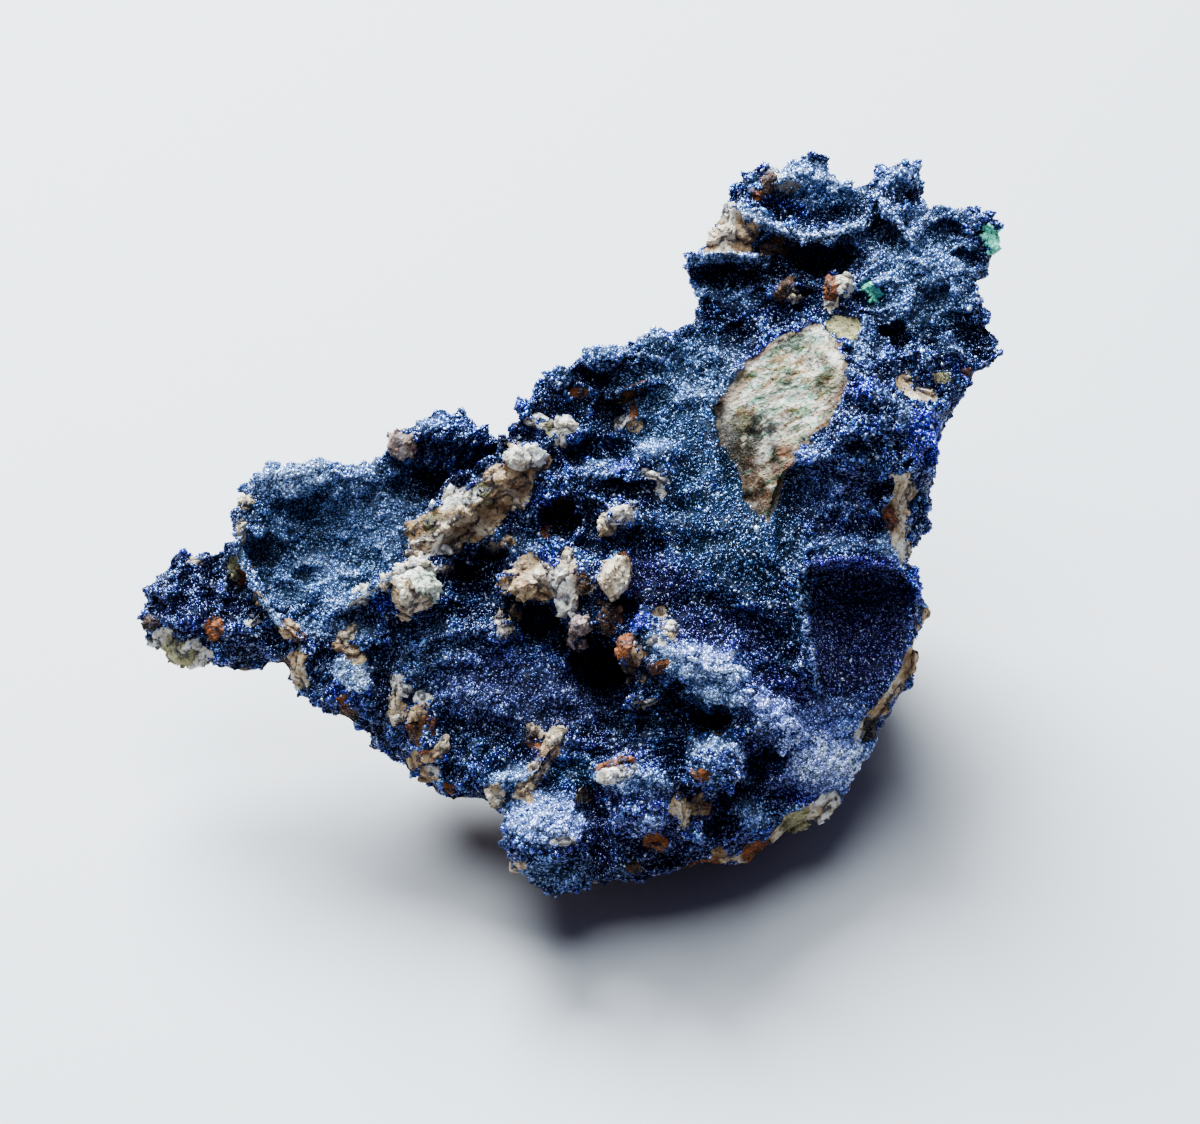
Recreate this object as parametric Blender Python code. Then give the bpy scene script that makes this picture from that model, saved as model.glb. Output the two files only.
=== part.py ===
"""A hand-sized azurite specimen: one piece of host rock under a coat of small azurite crystals.

The specimen is a tilted slab with a wedge of rock below it. Its upper face climbs from the low front
lobes to the high back corner, and its left end hangs free. The whole is one solid. Its lumps, ledges,
blocks and hollows are all fused to it, and it is cut off flat where it rests.
"""

import math

import bmesh
import bpy
import numpy as np
from mathutils import Euler, Matrix, Vector, noise
from mathutils.geometry import delaunay_2d_cdt

NAME = "azurite_specimen"
MM = 0.001  # every length below is in millimetres

RIM_STEP = 1.5  # spacing of the points along the outline
GRID_STEP = 2.0  # spacing of the points inside it
FUSE_VOXEL = 0.85  # grain at which the shapes grow together
BASE_DEPTH = 1.0  # how far the underside reaches below the resting plane before it is cut
FACES = 9700  # triangles of the finished solid
AZURITE_BLUE = (0.015, 0.035, 0.22, 1.0)

# The outline, clockwise seen from above, starting at the left tip:
# x, y, height of the upper edge, thickness of the edge, run of the underside before it reaches the base.
OUTLINE = [
    (-42.8, -0.6, 19.0, 3.0, 34.0),
    (-41.8, 1.8, 21.0, 3.5, 34.0),
    (-39.5, 3.5, 23.2, 4.0, 34.0),
    (-35.5, 3.8, 24.2, 4.0, 34.0),
    (-31.8, 6.0, 26.0, 4.0, 28.0),
    (-32.5, 8.2, 27.5, 4.0, 26.0),
    (-30.0, 9.2, 29.0, 4.0, 24.0),
    (-25.5, 9.3, 30.0, 4.0, 22.0),
    (-20.0, 9.3, 30.5, 4.0, 20.0),
    (-17.0, 11.0, 32.0, 5.0, 18.0),
    (-13.5, 12.4, 32.5, 5.0, 16.0),
    (-9.0, 11.4, 32.5, 5.0, 15.0),
    (-7.0, 9.6, 32.5, 5.0, 14.0),
    (-5.2, 12.0, 34.5, 5.0, 14.0),
    (-2.5, 14.0, 36.5, 5.0, 14.0),
    (1.0, 15.2, 38.0, 5.0, 14.0),
    (5.0, 16.2, 39.2, 5.0, 14.0),
    (9.8, 17.5, 40.5, 5.0, 14.0),
    (12.6, 20.5, 42.0, 4.0, 14.0),
    (12.6, 24.0, 44.0, 5.0, 15.0),
    (14.0, 27.0, 45.5, 5.0, 16.0),
    (17.0, 30.0, 47.5, 5.0, 17.0),
    (20.5, 32.2, 49.0, 6.0, 18.0),
    (24.5, 33.0, 50.0, 6.0, 18.0),
    (28.0, 31.0, 49.0, 6.0, 17.0),
    (33.0, 32.0, 49.5, 6.0, 17.0),
    (36.5, 29.5, 48.0, 6.0, 15.0),
    (42.8, 28.6, 46.2, 4.0, 14.0),
    (41.8, 24.5, 43.5, 3.0, 14.0),
    (40.4, 20.5, 41.5, 3.0, 14.0),
    (39.2, 16.0, 39.0, 4.0, 12.0),
    (38.0, 12.0, 36.5, 6.0, 9.0),
    (36.8, 8.5, 34.5, 6.0, 8.0),
    (35.6, 5.0, 33.0, 6.0, 8.0),
    (33.4, 1.0, 31.5, 6.0, 7.0),
    (33.4, -2.5, 29.5, 6.0, 7.0),
    (35.2, -5.0, 27.0, 6.0, 8.0),
    (34.6, -8.2, 22.5, 6.0, 8.0),
    (30.6, -12.8, 17.5, 5.0, 8.0),
    (28.6, -15.4, 14.8, 4.0, 8.0),
    (26.0, -18.4, 12.4, 3.0, 8.0),
    (22.0, -21.4, 10.6, 3.0, 8.0),
    (16.0, -25.0, 10.4, 3.0, 10.0),
    (7.0, -26.8, 10.8, 3.0, 12.0),
    (1.5, -28.2, 10.8, 3.0, 14.0),
    (-3.2, -28.8, 11.2, 3.0, 15.0),
    (-6.4, -24.8, 12.5, 3.0, 16.0),
    (-7.2, -19.4, 13.0, 3.0, 18.0),
    (-12.2, -18.0, 13.0, 3.0, 20.0),
    (-15.0, -14.6, 14.8, 3.0, 22.0),
    (-21.5, -12.0, 16.4, 3.0, 24.0),
    (-26.0, -10.4, 17.4, 3.0, 26.0),
    (-28.6, -6.2, 19.0, 3.0, 30.0),
    (-32.5, -5.6, 17.5, 3.0, 34.0),
    (-37.2, -5.0, 16.8, 3.0, 34.0),
    (-40.8, -3.2, 17.2, 3.0, 34.0),
]

# Heights of the upper face inside the outline: x, y, z.
FACE_HEIGHTS = [
    (-37.0, -2.0, 20.5),
    (-27.5, 2.0, 23.5),
    (-23.5, 1.5, 23.0),
    (-19.0, 3.0, 25.0),
    (-26.5, 6.5, 27.5),
    (-23.0, -7.5, 21.0),
    (-21.0, -12.0, 18.0),
    (-16.0, -12.5, 18.0),
    (-12.5, -9.5, 22.0),
    (-6.5, -8.5, 22.5),
    (-10.5, -18.0, 14.5),
    (-2.5, -12.5, 20.0),
    (4.0, -10.5, 18.5),
    (-1.0, -19.0, 15.5),
    (-11.5, 7.5, 28.0),
    (-2.5, 8.0, 32.5),
    (-7.0, 4.5, 30.0),
    (-13.5, 0.5, 26.5),
    (-2.0, -4.0, 26.0),
    (5.0, -4.5, 27.0),
    (-0.5, 1.0, 30.0),
    (5.5, 0.0, 30.5),
    (13.0, -4.0, 29.0),
    (15.0, 2.5, 33.0),
    (9.0, 7.0, 35.0),
    (4.5, 12.0, 36.5),
    (12.0, 18.0, 40.0),
    (17.0, 15.0, 40.0),
    (22.0, 9.0, 38.0),
    (19.5, 1.5, 33.5),
    (25.5, 15.0, 42.0),
    (30.5, 9.0, 41.0),
    (31.0, 3.5, 36.0),
    (27.5, 1.0, 34.5),
    (27.0, -3.5, 30.5),
    (28.5, -9.0, 22.5),
    (32.0, -9.0, 22.0),
    (17.5, -8.0, 25.0),
    (20.5, -13.0, 20.5),
    (27.0, -15.0, 15.5),
    (22.0, -20.0, 13.5),
    (11.0, -15.0, 23.0),
    (14.0, -22.0, 15.5),
    (6.0, -24.0, 14.0),
    (-2.0, -26.0, 13.5),
    (20.0, 28.5, 46.5),
    (27.0, 26.0, 45.5),
    (33.5, 27.0, 46.0),
    (39.0, 25.0, 45.0),
    (38.0, 19.0, 42.5),
    (30.0, 20.0, 43.5),
    (19.0, 22.0, 42.0),
]

# Rounded lumps: centre, half-sizes, turn about the vertical in degrees.
LUMPS = [
    ((-2.2, -25.0, 11.0), (4.6, 4.0, 4.8), 8),  # front lobe, the lowest
    ((-1.0, -27.0, 9.6), (3.8, 2.2, 3.2), 0),
    ((6.9, -22.6, 16.0), (5.0, 4.2, 4.8), 20),  # front lobe beside it
    ((14.0, -20.2, 18.6), (3.7, 3.3, 3.5), 0),  # knob behind the two lobes
    ((12.0, -23.4, 13.2), (3.0, 2.4, 2.8), 0),
    ((16.4, -22.8, 11.6), (3.0, 2.2, 2.4), 30),
    ((7.0, -15.4, 21.4), (3.2, 2.4, 2.6), 0),
    ((-37.4, -0.6, 18.8), (5.0, 4.2, 3.2), 0),  # left lobe
    ((-40.2, -0.6, 18.8), (2.2, 2.8, 2.6), 0),
    ((-33.6, -2.6, 18.8), (3.2, 2.8, 2.6), 0),
    ((-28.4, 7.6, 28.6), (3.0, 1.8, 2.2), 0),  # back wall of the left basin
    ((-23.8, 7.6, 29.2), (3.2, 1.7, 2.2), 0),
    ((-19.4, 8.2, 29.4), (2.4, 1.6, 2.0), 0),
    ((-28.2, 4.0, 24.4), (1.9, 1.7, 1.9), 0),
    ((-25.3, -1.5, 22.4), (1.5, 1.3, 1.4), 0),
    ((-13.0, 10.6, 31.6), (4.2, 2.7, 3.0), -10),  # knob at the back of the left part
    ((-16.6, 10.0, 30.8), (2.3, 1.9, 2.2), 0),
    ((-9.2, 10.2, 31.4), (2.1, 2.1, 2.1), 0),
    ((4.6, 14.6, 38.4), (3.8, 2.4, 2.1), 12),  # knobs along the back ridge
    ((-1.0, 13.2, 36.8), (1.9, 1.9, 2.0), 0),
    ((-4.0, 11.6, 34.4), (2.0, 1.8, 1.8), 0),
    ((9.2, 16.0, 39.8), (2.5, 2.1, 1.6), 20),
    ((27.6, 7.4, 38.8), (6.0, 6.2, 4.6), 25),  # the broad swelling with the bare broken face
    ((30.4, 3.2, 34.8), (4.4, 4.2, 4.0), 0),
    ((33.6, 7.6, 35.8), (2.5, 4.0, 3.2), 0),
    ((23.6, 12.8, 40.2), (4.2, 5.0, 3.2), -20),
    ((40.2, 15.8, 38.2), (2.9, 2.8, 2.9), 0),  # knob low on the right
    ((39.2, 18.6, 40.0), (2.8, 3.4, 2.6), 0),
    ((38.4, 13.0, 36.4), (2.2, 2.6, 2.8), 0),
    ((24.4, 31.6, 49.2), (2.4, 1.9, 2.2), 0),  # the two peaks
    ((32.8, 30.8, 48.4), (2.9, 2.2, 2.0), 0),
    ((18.8, 30.4, 47.8), (3.2, 2.3, 2.1), 25),
    ((39.8, 27.4, 45.6), (3.8, 2.4, 2.2), -12),
    ((28.6, 21.4, 43.6), (3.0, 2.2, 2.2), 0),
    ((33.6, 20.6, 43.4), (2.8, 2.6, 2.2), 0),
    ((37.6, 21.4, 43.2), (2.4, 2.4, 2.0), 0),
    ((34.3, -4.8, 22.0), (1.6, 2.8, 3.2), -10),  # bare rock standing out below the right edge
    ((32.0, -8.8, 17.8), (1.6, 2.6, 2.8), -35),
    ((29.0, -12.6, 13.2), (1.6, 2.2, 2.2), -40),
    ((24.4, -17.4, 8.6), (2.6, 2.0, 2.6), 40),
    ((19.4, -20.4, 7.4), (3.0, 2.0, 2.2), 25),
]

# Raised lines, as chains of balls: points, radius of the balls.
RIDGES = [
    # rim of crust round the left basin
    ([(-31.8, 6.0, 27.0), (-32.0, 2.0, 25.8), (-30.8, -2.0, 24.2), (-29.0, -5.0, 22.8), (-25.8, -7.4, 21.8)], 1.15),
    # saddle above the front knobs, running out to the right
    ([(8.2, -11.6, 26.0), (10.4, -13.6, 25.6), (13.6, -15.4, 24.2), (17.4, -16.4, 21.4), (21.0, -17.0, 18.2)], 2.5),
    # lip over the big hollow on the right
    ([(22.0, -6.6, 28.0), (24.8, -4.4, 29.4), (28.2, -3.4, 29.6), (31.2, -3.8, 28.8), (33.6, -5.0, 27.2)], 1.5),
    # left side of the big hollow
    ([(22.2, -6.8, 27.6), (22.6, -9.6, 25.2), (23.4, -12.4, 22.0)], 1.3),
    # curved ledge below the peaks
    ([(15.8, 28.4, 46.6), (19.0, 26.2, 46.4), (23.0, 25.2, 45.8), (27.0, 25.0, 45.6), (30.0, 26.0, 46.2)], 1.5),
    # fin that slants down from the right peak
    ([(31.0, 28.4, 48.0), (33.4, 26.0, 46.8), (35.8, 23.4, 45.2)], 1.4),
    # ledge at the left of the high part
    ([(12.6, 22.4, 43.2), (15.4, 22.2, 43.6), (18.8, 21.8, 43.6)], 1.6),
    # edge of the high part on the right
    ([(41.4, 26.4, 44.2), (40.8, 22.8, 42.8), (40.2, 19.4, 41.0)], 1.5),
    # front edge of the low plateau
    ([(-25.2, -10.6, 17.8), (-20.6, -11.4, 17.0), (-15.8, -13.0, 16.0), (-13.4, -16.0, 14.2)], 1.4),
    # step that joins the front lobes to the left edge
    ([(-0.4, -16.4, 17.8), (-2.4, -18.4, 16.4), (-5.4, -19.4, 14.4)], 1.4),
    # wandering crest between the plateau and the middle
    ([(-1.0, 5.4, 32.4), (3.0, 3.0, 32.4), (7.6, 2.6, 32.8), (10.6, 5.4, 34.8)], 1.5),
    # thin sliver beside the basin
    ([(-23.4, -5.6, 23.6), (-19.8, -4.6, 24.4), (-17.4, -4.0, 25.2)], 1.0),
]

# Angular blocks of bare host rock: centre, size, turns about x, y and z in degrees.
BLOCKS = [
    ((-14.0, 0.6, 28.0), (5.4, 4.6, 4.4), (20, -10, 35)),
    ((-11.0, 2.8, 30.2), (5.4, 4.8, 4.4), (25, -20, 40)),
    ((-7.6, 4.2, 31.6), (5.2, 4.8, 4.0), (30, -15, 30)),
    ((-4.4, 6.2, 33.0), (4.4, 4.0, 3.8), (25, 10, 20)),
    ((-15.0, -4.8, 25.6), (5.2, 4.8, 5.0), (15, 10, 10)),
    ((-5.0, -5.6, 27.0), (4.4, 3.8, 4.2), (30, 0, -15)),
    ((-1.0, -4.8, 27.8), (4.6, 3.8, 4.6), (20, 15, 10)),
    ((0.2, -6.8, 26.0), (3.2, 3.0, 4.4), (35, 0, 5)),
    ((4.6, -5.6, 28.6), (3.2, 3.4, 5.0), (30, 5, -15)),
    ((4.0, -8.6, 25.2), (2.8, 2.6, 3.2), (20, 0, 20)),
    ((1.0, -8.4, 24.0), (2.6, 2.8, 3.8), (30, 0, -10)),
    ((-6.6, -7.6, 23.2), (3.6, 3.0, 2.8), (10, 0, 30)),
    ((5.0, -0.2, 31.2), (3.4, 3.0, 3.4), (20, 0, 15)),
    ((6.2, -12.4, 24.6), (3.0, 3.0, 4.0), (20, 10, 0)),
    ((-21.0, -8.0, 21.0), (3.4, 3.0, 3.0), (20, 0, 40)),
    ((-26.0, -8.6, 19.0), (3.0, 3.6, 4.4), (15, 10, -10)),
    ((-16.4, -11.8, 18.2), (2.6, 3.2, 4.2), (25, 0, 10)),
    ((-13.4, -13.6, 15.6), (3.6, 3.6, 4.2), (10, 20, 40)),
    ((-6.8, -19.8, 13.4), (3.0, 3.0, 3.2), (10, 0, 15)),
    ((-37.0, -4.0, 17.0), (3.4, 2.4, 3.0), (20, 0, 10)),
    ((-1.6, 9.0, 34.0), (4.2, 2.8, 2.8), (20, 0, 5)),
    ((5.6, 12.0, 36.8), (4.6, 2.8, 2.6), (25, 0, 0)),
    ((27.4, 19.0, 43.4), (3.4, 2.8, 3.0), (10, 0, 20)),
    ((22.4, 19.6, 42.8), (2.8, 2.4, 2.6), (15, 0, 0)),
    ((16.2, 26.4, 44.8), (3.4, 3.0, 3.4), (20, 10, 10)),
    ((34.0, 10.0, 37.2), (3.6, 2.8, 2.4), (20, 20, -10)),
]

# Hollows cut into the stone: centre, half-sizes, turn about the vertical in degrees.
HOLLOWS = [
    ((-24.6, 1.2, 28.6), (6.2, 5.4, 6.0), 15),  # left basin
    ((28.6, -8.8, 26.2), (5.4, 5.6, 4.8), -15),  # big hollow on the right
    ((29.0, -12.6, 23.6), (4.6, 4.6, 4.2), -15),
    ((4.4, -12.6, 19.8), (2.6, 4.6, 4.4), 20),  # groove between the middle and the saddle
    ((-2.6, -9.0, 23.4), (4.2, 1.7, 1.8), -8),  # cleft under the blocks of the middle
    ((-9.2, -2.2, 27.6), (3.0, 2.2, 2.6), 30),
    ((-0.6, 1.0, 32.6), (2.0, 1.7, 2.6), 0),
    ((-9.2, 7.2, 32.0), (3.8, 1.7, 3.6), 15),  # gap behind the long block
    ((13.4, -17.3, 21.4), (3.6, 1.5, 1.9), -12),  # slot under the saddle
    ((20.2, -19.6, 17.6), (2.4, 2.2, 2.8), 30),  # valley beside the knob
    ((10.4, -20.0, 20.6), (1.6, 2.0, 2.8), 0),
    ((2.4, -23.0, 15.6), (1.2, 2.4, 3.2), 0),
    ((16.0, 20.0, 41.4), (4.6, 1.3, 1.5), 5),  # undercut of the left ledge
    ((24.4, 22.4, 44.4), (4.8, 1.5, 1.7), 0),  # undercut of the curved ledge
    ((23.4, 27.8, 48.8), (5.2, 1.7, 2.2), -8),  # hollows above it
    ((30.6, 24.4, 47.2), (1.5, 2.0, 2.0), 20),
    ((38.0, 24.4, 46.8), (3.0, 1.7, 2.0), 20),
    ((30.8, 13.6, 43.6), (1.5, 1.8, 2.6), 10),  # pits beside the broken face
    ((19.8, 3.2, 37.0), (1.6, 4.4, 3.2), 8),  # drop along the broken face's left side
    ((5.0, 10.0, 37.4), (3.0, 1.6, 1.6), 0),
    ((9.4, -1.6, 32.6), (2.0, 1.4, 1.6), 30),
    ((20.4, -2.2, 34.0), (5.0, 3.8, 3.0), -20),
    ((29.0, -0.8, 34.2), (4.0, 1.8, 2.4), 5),  # shadowed step below the swelling
]

# Broken faces, cut off flat: a point of the face, its outward direction, reach of the cut round the point.
BROKEN_FACES = [
    ((22.2, 9.0, 41.2), (-0.42, -0.42, 0.80), (5.0, 9.0, 3.0), 28),
]

# Rough surface: size of the bumps, their height.
BUMPS = [(9.0, 0.7), (4.0, 0.42), (2.2, 0.22)]
# The broken sides below the edge: beds this long, this thick and standing out this far.
BED_LENGTH = 16.0
BED_THICKNESS = 3.4
BED_RELIEF = 1.3
# Chips out of the same sides: their size and depth.
CHIP_SIZE = 7.5
CHIP_DEPTH = 1.7
SEED_SHIFT = Vector((37.1, 11.3, 5.7))


def clear_scene():
    for item in list(bpy.data.objects):
        bpy.data.objects.remove(item, do_unlink=True)


def closed_curve(points, step):
    """Points about a step apart along a smooth closed curve through the given ones, with all their values."""
    given = np.array(points)
    count = len(given)
    samples = []
    for i in range(count):
        before, start, end, after = (given[(i + k) % count] for k in (-1, 0, 1, 2))
        length = np.linalg.norm((end - start)[:2])
        pieces = max(1, round(length / step))
        for j in range(pieces):
            t = j / pieces
            curve = (
                2 * start
                + (end - before) * t
                + (2 * before - 5 * start + 4 * end - after) * t * t
                + (3 * start - before - 3 * end + after) * t**3
            )
            samples.append(curve / 2)
    return np.array(samples)


def radial(distance):
    """The thin-plate kernel r² log r."""
    safe = np.maximum(distance, 1e-6)
    return safe * safe * np.log(safe)


def thin_plate(marks):
    """A smooth height z(x, y) that passes through every mark."""
    marks = np.array(marks)
    places = marks[:, :2]
    count = len(marks)
    apart = np.linalg.norm(places[:, None] - places[None], axis=2)
    plane = np.hstack([np.ones((count, 1)), places])
    system = np.zeros((count + 3, count + 3))
    system[:count, :count] = radial(apart) + np.eye(count) * 2.0
    system[:count, count:] = plane
    system[count:, :count] = plane.T
    weights = np.linalg.solve(system, np.append(marks[:, 2], np.zeros(3)))

    def height(spots):
        away = np.linalg.norm(spots[:, None] - places[None], axis=2)
        return radial(away) @ weights[:count] + weights[count] + spots @ weights[count + 1 :]

    return height


def inside(spots, ring):
    """Which spots lie inside the closed ring."""
    result = np.zeros(len(spots), bool)
    for (x0, y0), (x1, y1) in zip(ring, np.roll(ring, -1, axis=0)):
        crosses = (spots[:, 1] < y0) != (spots[:, 1] < y1)
        across = x0 + (spots[:, 1] - y0) * (x1 - x0) / (y1 - y0 if y1 != y0 else 1.0)
        result ^= crosses & (spots[:, 0] < across)
    return result


def underside(spots, rim):
    """Height of the underside: just under the edge at the rim, below the resting plane further in."""
    away = np.linalg.norm(spots[:, None] - rim[None, :, :2], axis=2)
    near = away.min(axis=1)
    weight = 1.0 / (away + 0.4) ** 5
    weight /= weight.sum(axis=1, keepdims=True)
    edge = weight @ (rim[:, 2] - rim[:, 3])
    run = weight @ rim[:, 4]
    share = np.clip(near / run, 0.0, 1.0)
    return (edge + BASE_DEPTH) * (1.0 - share) ** 1.15 - BASE_DEPTH


def slab(bm):
    """The stone's main form: the upper face, the underside and the edge between them."""
    rim = closed_curve(OUTLINE, RIM_STEP)
    low, high = rim[:, :2].min(axis=0), rim[:, :2].max(axis=0)
    columns = np.arange(low[0], high[0], GRID_STEP)
    rows = np.arange(low[1], high[1], GRID_STEP)
    grid = np.array([(x, y) for x in columns for y in rows])
    from_rim = np.linalg.norm(grid[:, None] - rim[None, :, :2], axis=2).min(axis=1)
    grid = grid[inside(grid, rim[:, :2]) & (from_rim > 0.6 * GRID_STEP)]
    plan = np.vstack([rim[:, :2], grid])
    edges = [(i, (i + 1) % len(rim)) for i in range(len(rim))]
    vertices, _, faces, _, _, _ = delaunay_2d_cdt([Vector(p) for p in plan], edges, [], 1, 1e-6)
    plan = np.array(vertices)
    height = thin_plate([mark[:3] for mark in OUTLINE] + FACE_HEIGHTS)
    top = height(plan)
    bottom = underside(plan, rim)
    top[: len(rim)] = rim[:, 2]
    bottom[: len(rim)] = rim[:, 2] - rim[:, 3]
    bottom = np.minimum(bottom, top - 2.0)
    upper = [bm.verts.new((x, y, z)) for (x, y), z in zip(plan, top)]
    lower = [bm.verts.new((x, y, z)) for (x, y), z in zip(plan, bottom)]
    for face in faces:
        bm.faces.new([upper[i] for i in face])
        bm.faces.new([lower[i] for i in reversed(face)])
    for a, b in edges:
        bm.faces.new([upper[b], upper[a], lower[a], lower[b]])


def ellipsoid(bm, centre, half_sizes, turn, subdivisions=3):
    place = Matrix.Translation(centre) @ Matrix.Rotation(math.radians(turn), 4, "Z")
    place = place @ Matrix.Diagonal((*half_sizes, 1.0))
    bmesh.ops.create_icosphere(bm, subdivisions=subdivisions, radius=1.0, matrix=place)


def ridge(bm, points, radius):
    """Overlapping balls along a broken line, each a little larger or smaller than the last."""
    for start, end in zip(points, points[1:]):
        start, end = Vector(start), Vector(end)
        pieces = max(1, round((end - start).length / (0.7 * radius)))
        for i in range(pieces + 1):
            spot = start.lerp(end, i / pieces)
            swell = 1.0 + 0.25 * noise.noise(spot * 0.5)
            ellipsoid(bm, spot, (radius * swell,) * 3, 0, 2)


def block(bm, centre, size, turns):
    """A cleaved block: a box with its corners pushed about."""
    turn = Euler([math.radians(angle) for angle in turns]).to_matrix().to_4x4()
    place = Matrix.Translation(centre) @ turn @ Matrix.Diagonal((*size, 1.0))
    corners = bmesh.ops.create_cube(bm, size=1.0, matrix=place)["verts"]
    for corner in corners:
        corner.co += noise.noise_vector(corner.co * 0.9) * 0.22 * min(size)


def mesh_object(name, make):
    """An object whose mesh is drawn in millimetres by the given function."""
    bm = bmesh.new()
    make(bm)
    bmesh.ops.recalc_face_normals(bm, faces=bm.faces)
    mesh = bpy.data.meshes.new(name)
    bm.to_mesh(mesh)
    bm.free()
    item = bpy.data.objects.new(name, mesh)
    bpy.context.collection.objects.link(item)
    return item


def settle(item):
    """Makes the object's modifiers part of its mesh."""
    bpy.context.view_layer.update()
    shaped = item.evaluated_get(bpy.context.evaluated_depsgraph_get())
    mesh = bpy.data.meshes.new_from_object(shaped)
    item.modifiers.clear()
    item.data = mesh


def fuse(item, voxel):
    remesh = item.modifiers.new("fuse", "REMESH")
    remesh.mode = "VOXEL"
    remesh.voxel_size = voxel
    settle(item)


def cut(item, name, make):
    """Takes the drawn shape away from the object."""
    cutter = mesh_object(name, make)
    cutter.hide_render = True
    cutter.display_type = "WIRE"
    boolean = item.modifiers.new(name, "BOOLEAN")
    boolean.operation = "DIFFERENCE"
    boolean.solver = "EXACT"
    boolean.use_self = True
    boolean.object = cutter
    settle(item)
    bpy.data.objects.remove(cutter, do_unlink=True)


def grown_shapes(bm):
    """Everything that stands up from the slab."""
    for centre, half_sizes, turn in LUMPS:
        ellipsoid(bm, centre, half_sizes, turn)
    for points, radius in RIDGES:
        ridge(bm, points, radius)


def fuse_all():
    """The slab, lumps, ridges and blocks grown together in one mesh."""
    stone = mesh_object(NAME, slab)
    fuse(stone, FUSE_VOXEL)
    extra = mesh_object("extra", lambda bm: (grown_shapes(bm), [block(bm, *values) for values in BLOCKS]))
    bm = bmesh.new()
    bm.from_mesh(stone.data)
    bm.from_mesh(extra.data)
    bm.to_mesh(stone.data)
    bm.free()
    bpy.data.objects.remove(extra, do_unlink=True)
    fuse(stone, FUSE_VOXEL)
    return stone


def hollow_shapes(bm):
    for centre, half_sizes, turn in HOLLOWS:
        ellipsoid(bm, centre, half_sizes, turn)


def break_off(stone):
    """Flattens the stone above each broken face, within the face's reach."""
    for point, outward, half_sizes, turn in BROKEN_FACES:
        middle = Vector(point)
        normal = Vector(outward).normalized()
        to_face = Matrix.Rotation(math.radians(-turn), 3, "Z")
        for vertex in stone.data.vertices:
            offset = to_face @ (vertex.co - middle)
            reach = math.hypot(offset.x / half_sizes[0], offset.y / half_sizes[1])
            above = (vertex.co - middle).dot(normal)
            if reach < 1.0 and above > -half_sizes[2]:
                hold = min(1.0, (1.0 - reach) * 4.0)
                vertex.co -= normal * above * hold


def roughen(stone):
    """Pushes the surface in and out along its normals, from broad swells to small bumps."""
    moves = []
    for vertex in stone.data.vertices:
        push = 0.0
        for size, height in BUMPS:
            push += height * noise.noise(vertex.co / size + SEED_SHIFT)
        broken = max(0.0, min(1.0, 0.5 - vertex.normal.z * 2.0))
        bed = Vector((vertex.co.x / BED_LENGTH, vertex.co.y / BED_LENGTH, vertex.co.z / BED_THICKNESS))
        chip = noise.voronoi(vertex.co / CHIP_SIZE + SEED_SHIFT)[0][0]
        push += broken * (BED_RELIEF * noise.noise(bed + SEED_SHIFT) + CHIP_DEPTH * (0.4 - chip))
        moves.append(vertex.normal * push)
    for vertex, move in zip(stone.data.vertices, moves):
        vertex.co += move


def thin_out(stone, faces):
    """Fewer, larger triangles, down to the given count."""
    stone.data.calc_loop_triangles()
    decimate = stone.modifiers.new("thin out", "DECIMATE")
    decimate.ratio = faces / len(stone.data.loop_triangles)
    settle(stone)


def below_base(bm):
    """A block that fills the space below the resting plane."""
    depth = 20.0
    place = Matrix.Translation((0.0, 0.0, -depth / 2)) @ Matrix.Diagonal((200.0, 200.0, depth, 1.0))
    bmesh.ops.create_cube(bm, size=1.0, matrix=place)


def largest_body(stone):
    """Drops crumbs that the cuts have left loose."""
    bm = bmesh.new()
    bm.from_mesh(stone.data)
    bodies = []
    unseen = set(bm.verts)
    while unseen:
        body = {unseen.pop()}
        front = list(body)
        while front:
            here = front.pop()
            for edge in here.link_edges:
                there = edge.other_vert(here)
                if there in unseen:
                    unseen.remove(there)
                    body.add(there)
                    front.append(there)
        bodies.append(body)
    bodies.sort(key=len)
    for crumb in bodies[:-1]:
        bmesh.ops.delete(bm, geom=list(crumb), context="VERTS")
    bmesh.ops.triangulate(bm, faces=bm.faces)
    bm.to_mesh(stone.data)
    bm.free()


def stand_on_origin(stone):
    """Centres the stone over the origin, in metres."""
    corners = np.array([vertex.co for vertex in stone.data.vertices])
    middle = (corners.min(axis=0) + corners.max(axis=0)) / 2
    stone.data.transform(Matrix.Translation((-middle[0], -middle[1], 0.0)))
    stone.data.transform(Matrix.Scale(MM, 4))


def azurite_material():
    material = bpy.data.materials.new("azurite")
    material.use_nodes = True
    shader = material.node_tree.nodes["Principled BSDF"]
    shader.inputs["Base Color"].default_value = AZURITE_BLUE
    shader.inputs["Roughness"].default_value = 0.35
    shader.inputs["Metallic"].default_value = 0.0
    return material


def build():
    clear_scene()
    stone = fuse_all()
    cut(stone, "hollows", hollow_shapes)
    fuse(stone, FUSE_VOXEL)
    break_off(stone)
    roughen(stone)
    thin_out(stone, FACES)
    cut(stone, "base cutter", below_base)
    largest_body(stone)
    stand_on_origin(stone)
    stone.data.materials.clear()
    stone.data.materials.append(azurite_material())


build()
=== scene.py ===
import math

import bmesh
import bpy
import numpy as np
from mathutils import Matrix, Vector, noise
from mathutils.bvhtree import BVHTree


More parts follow.
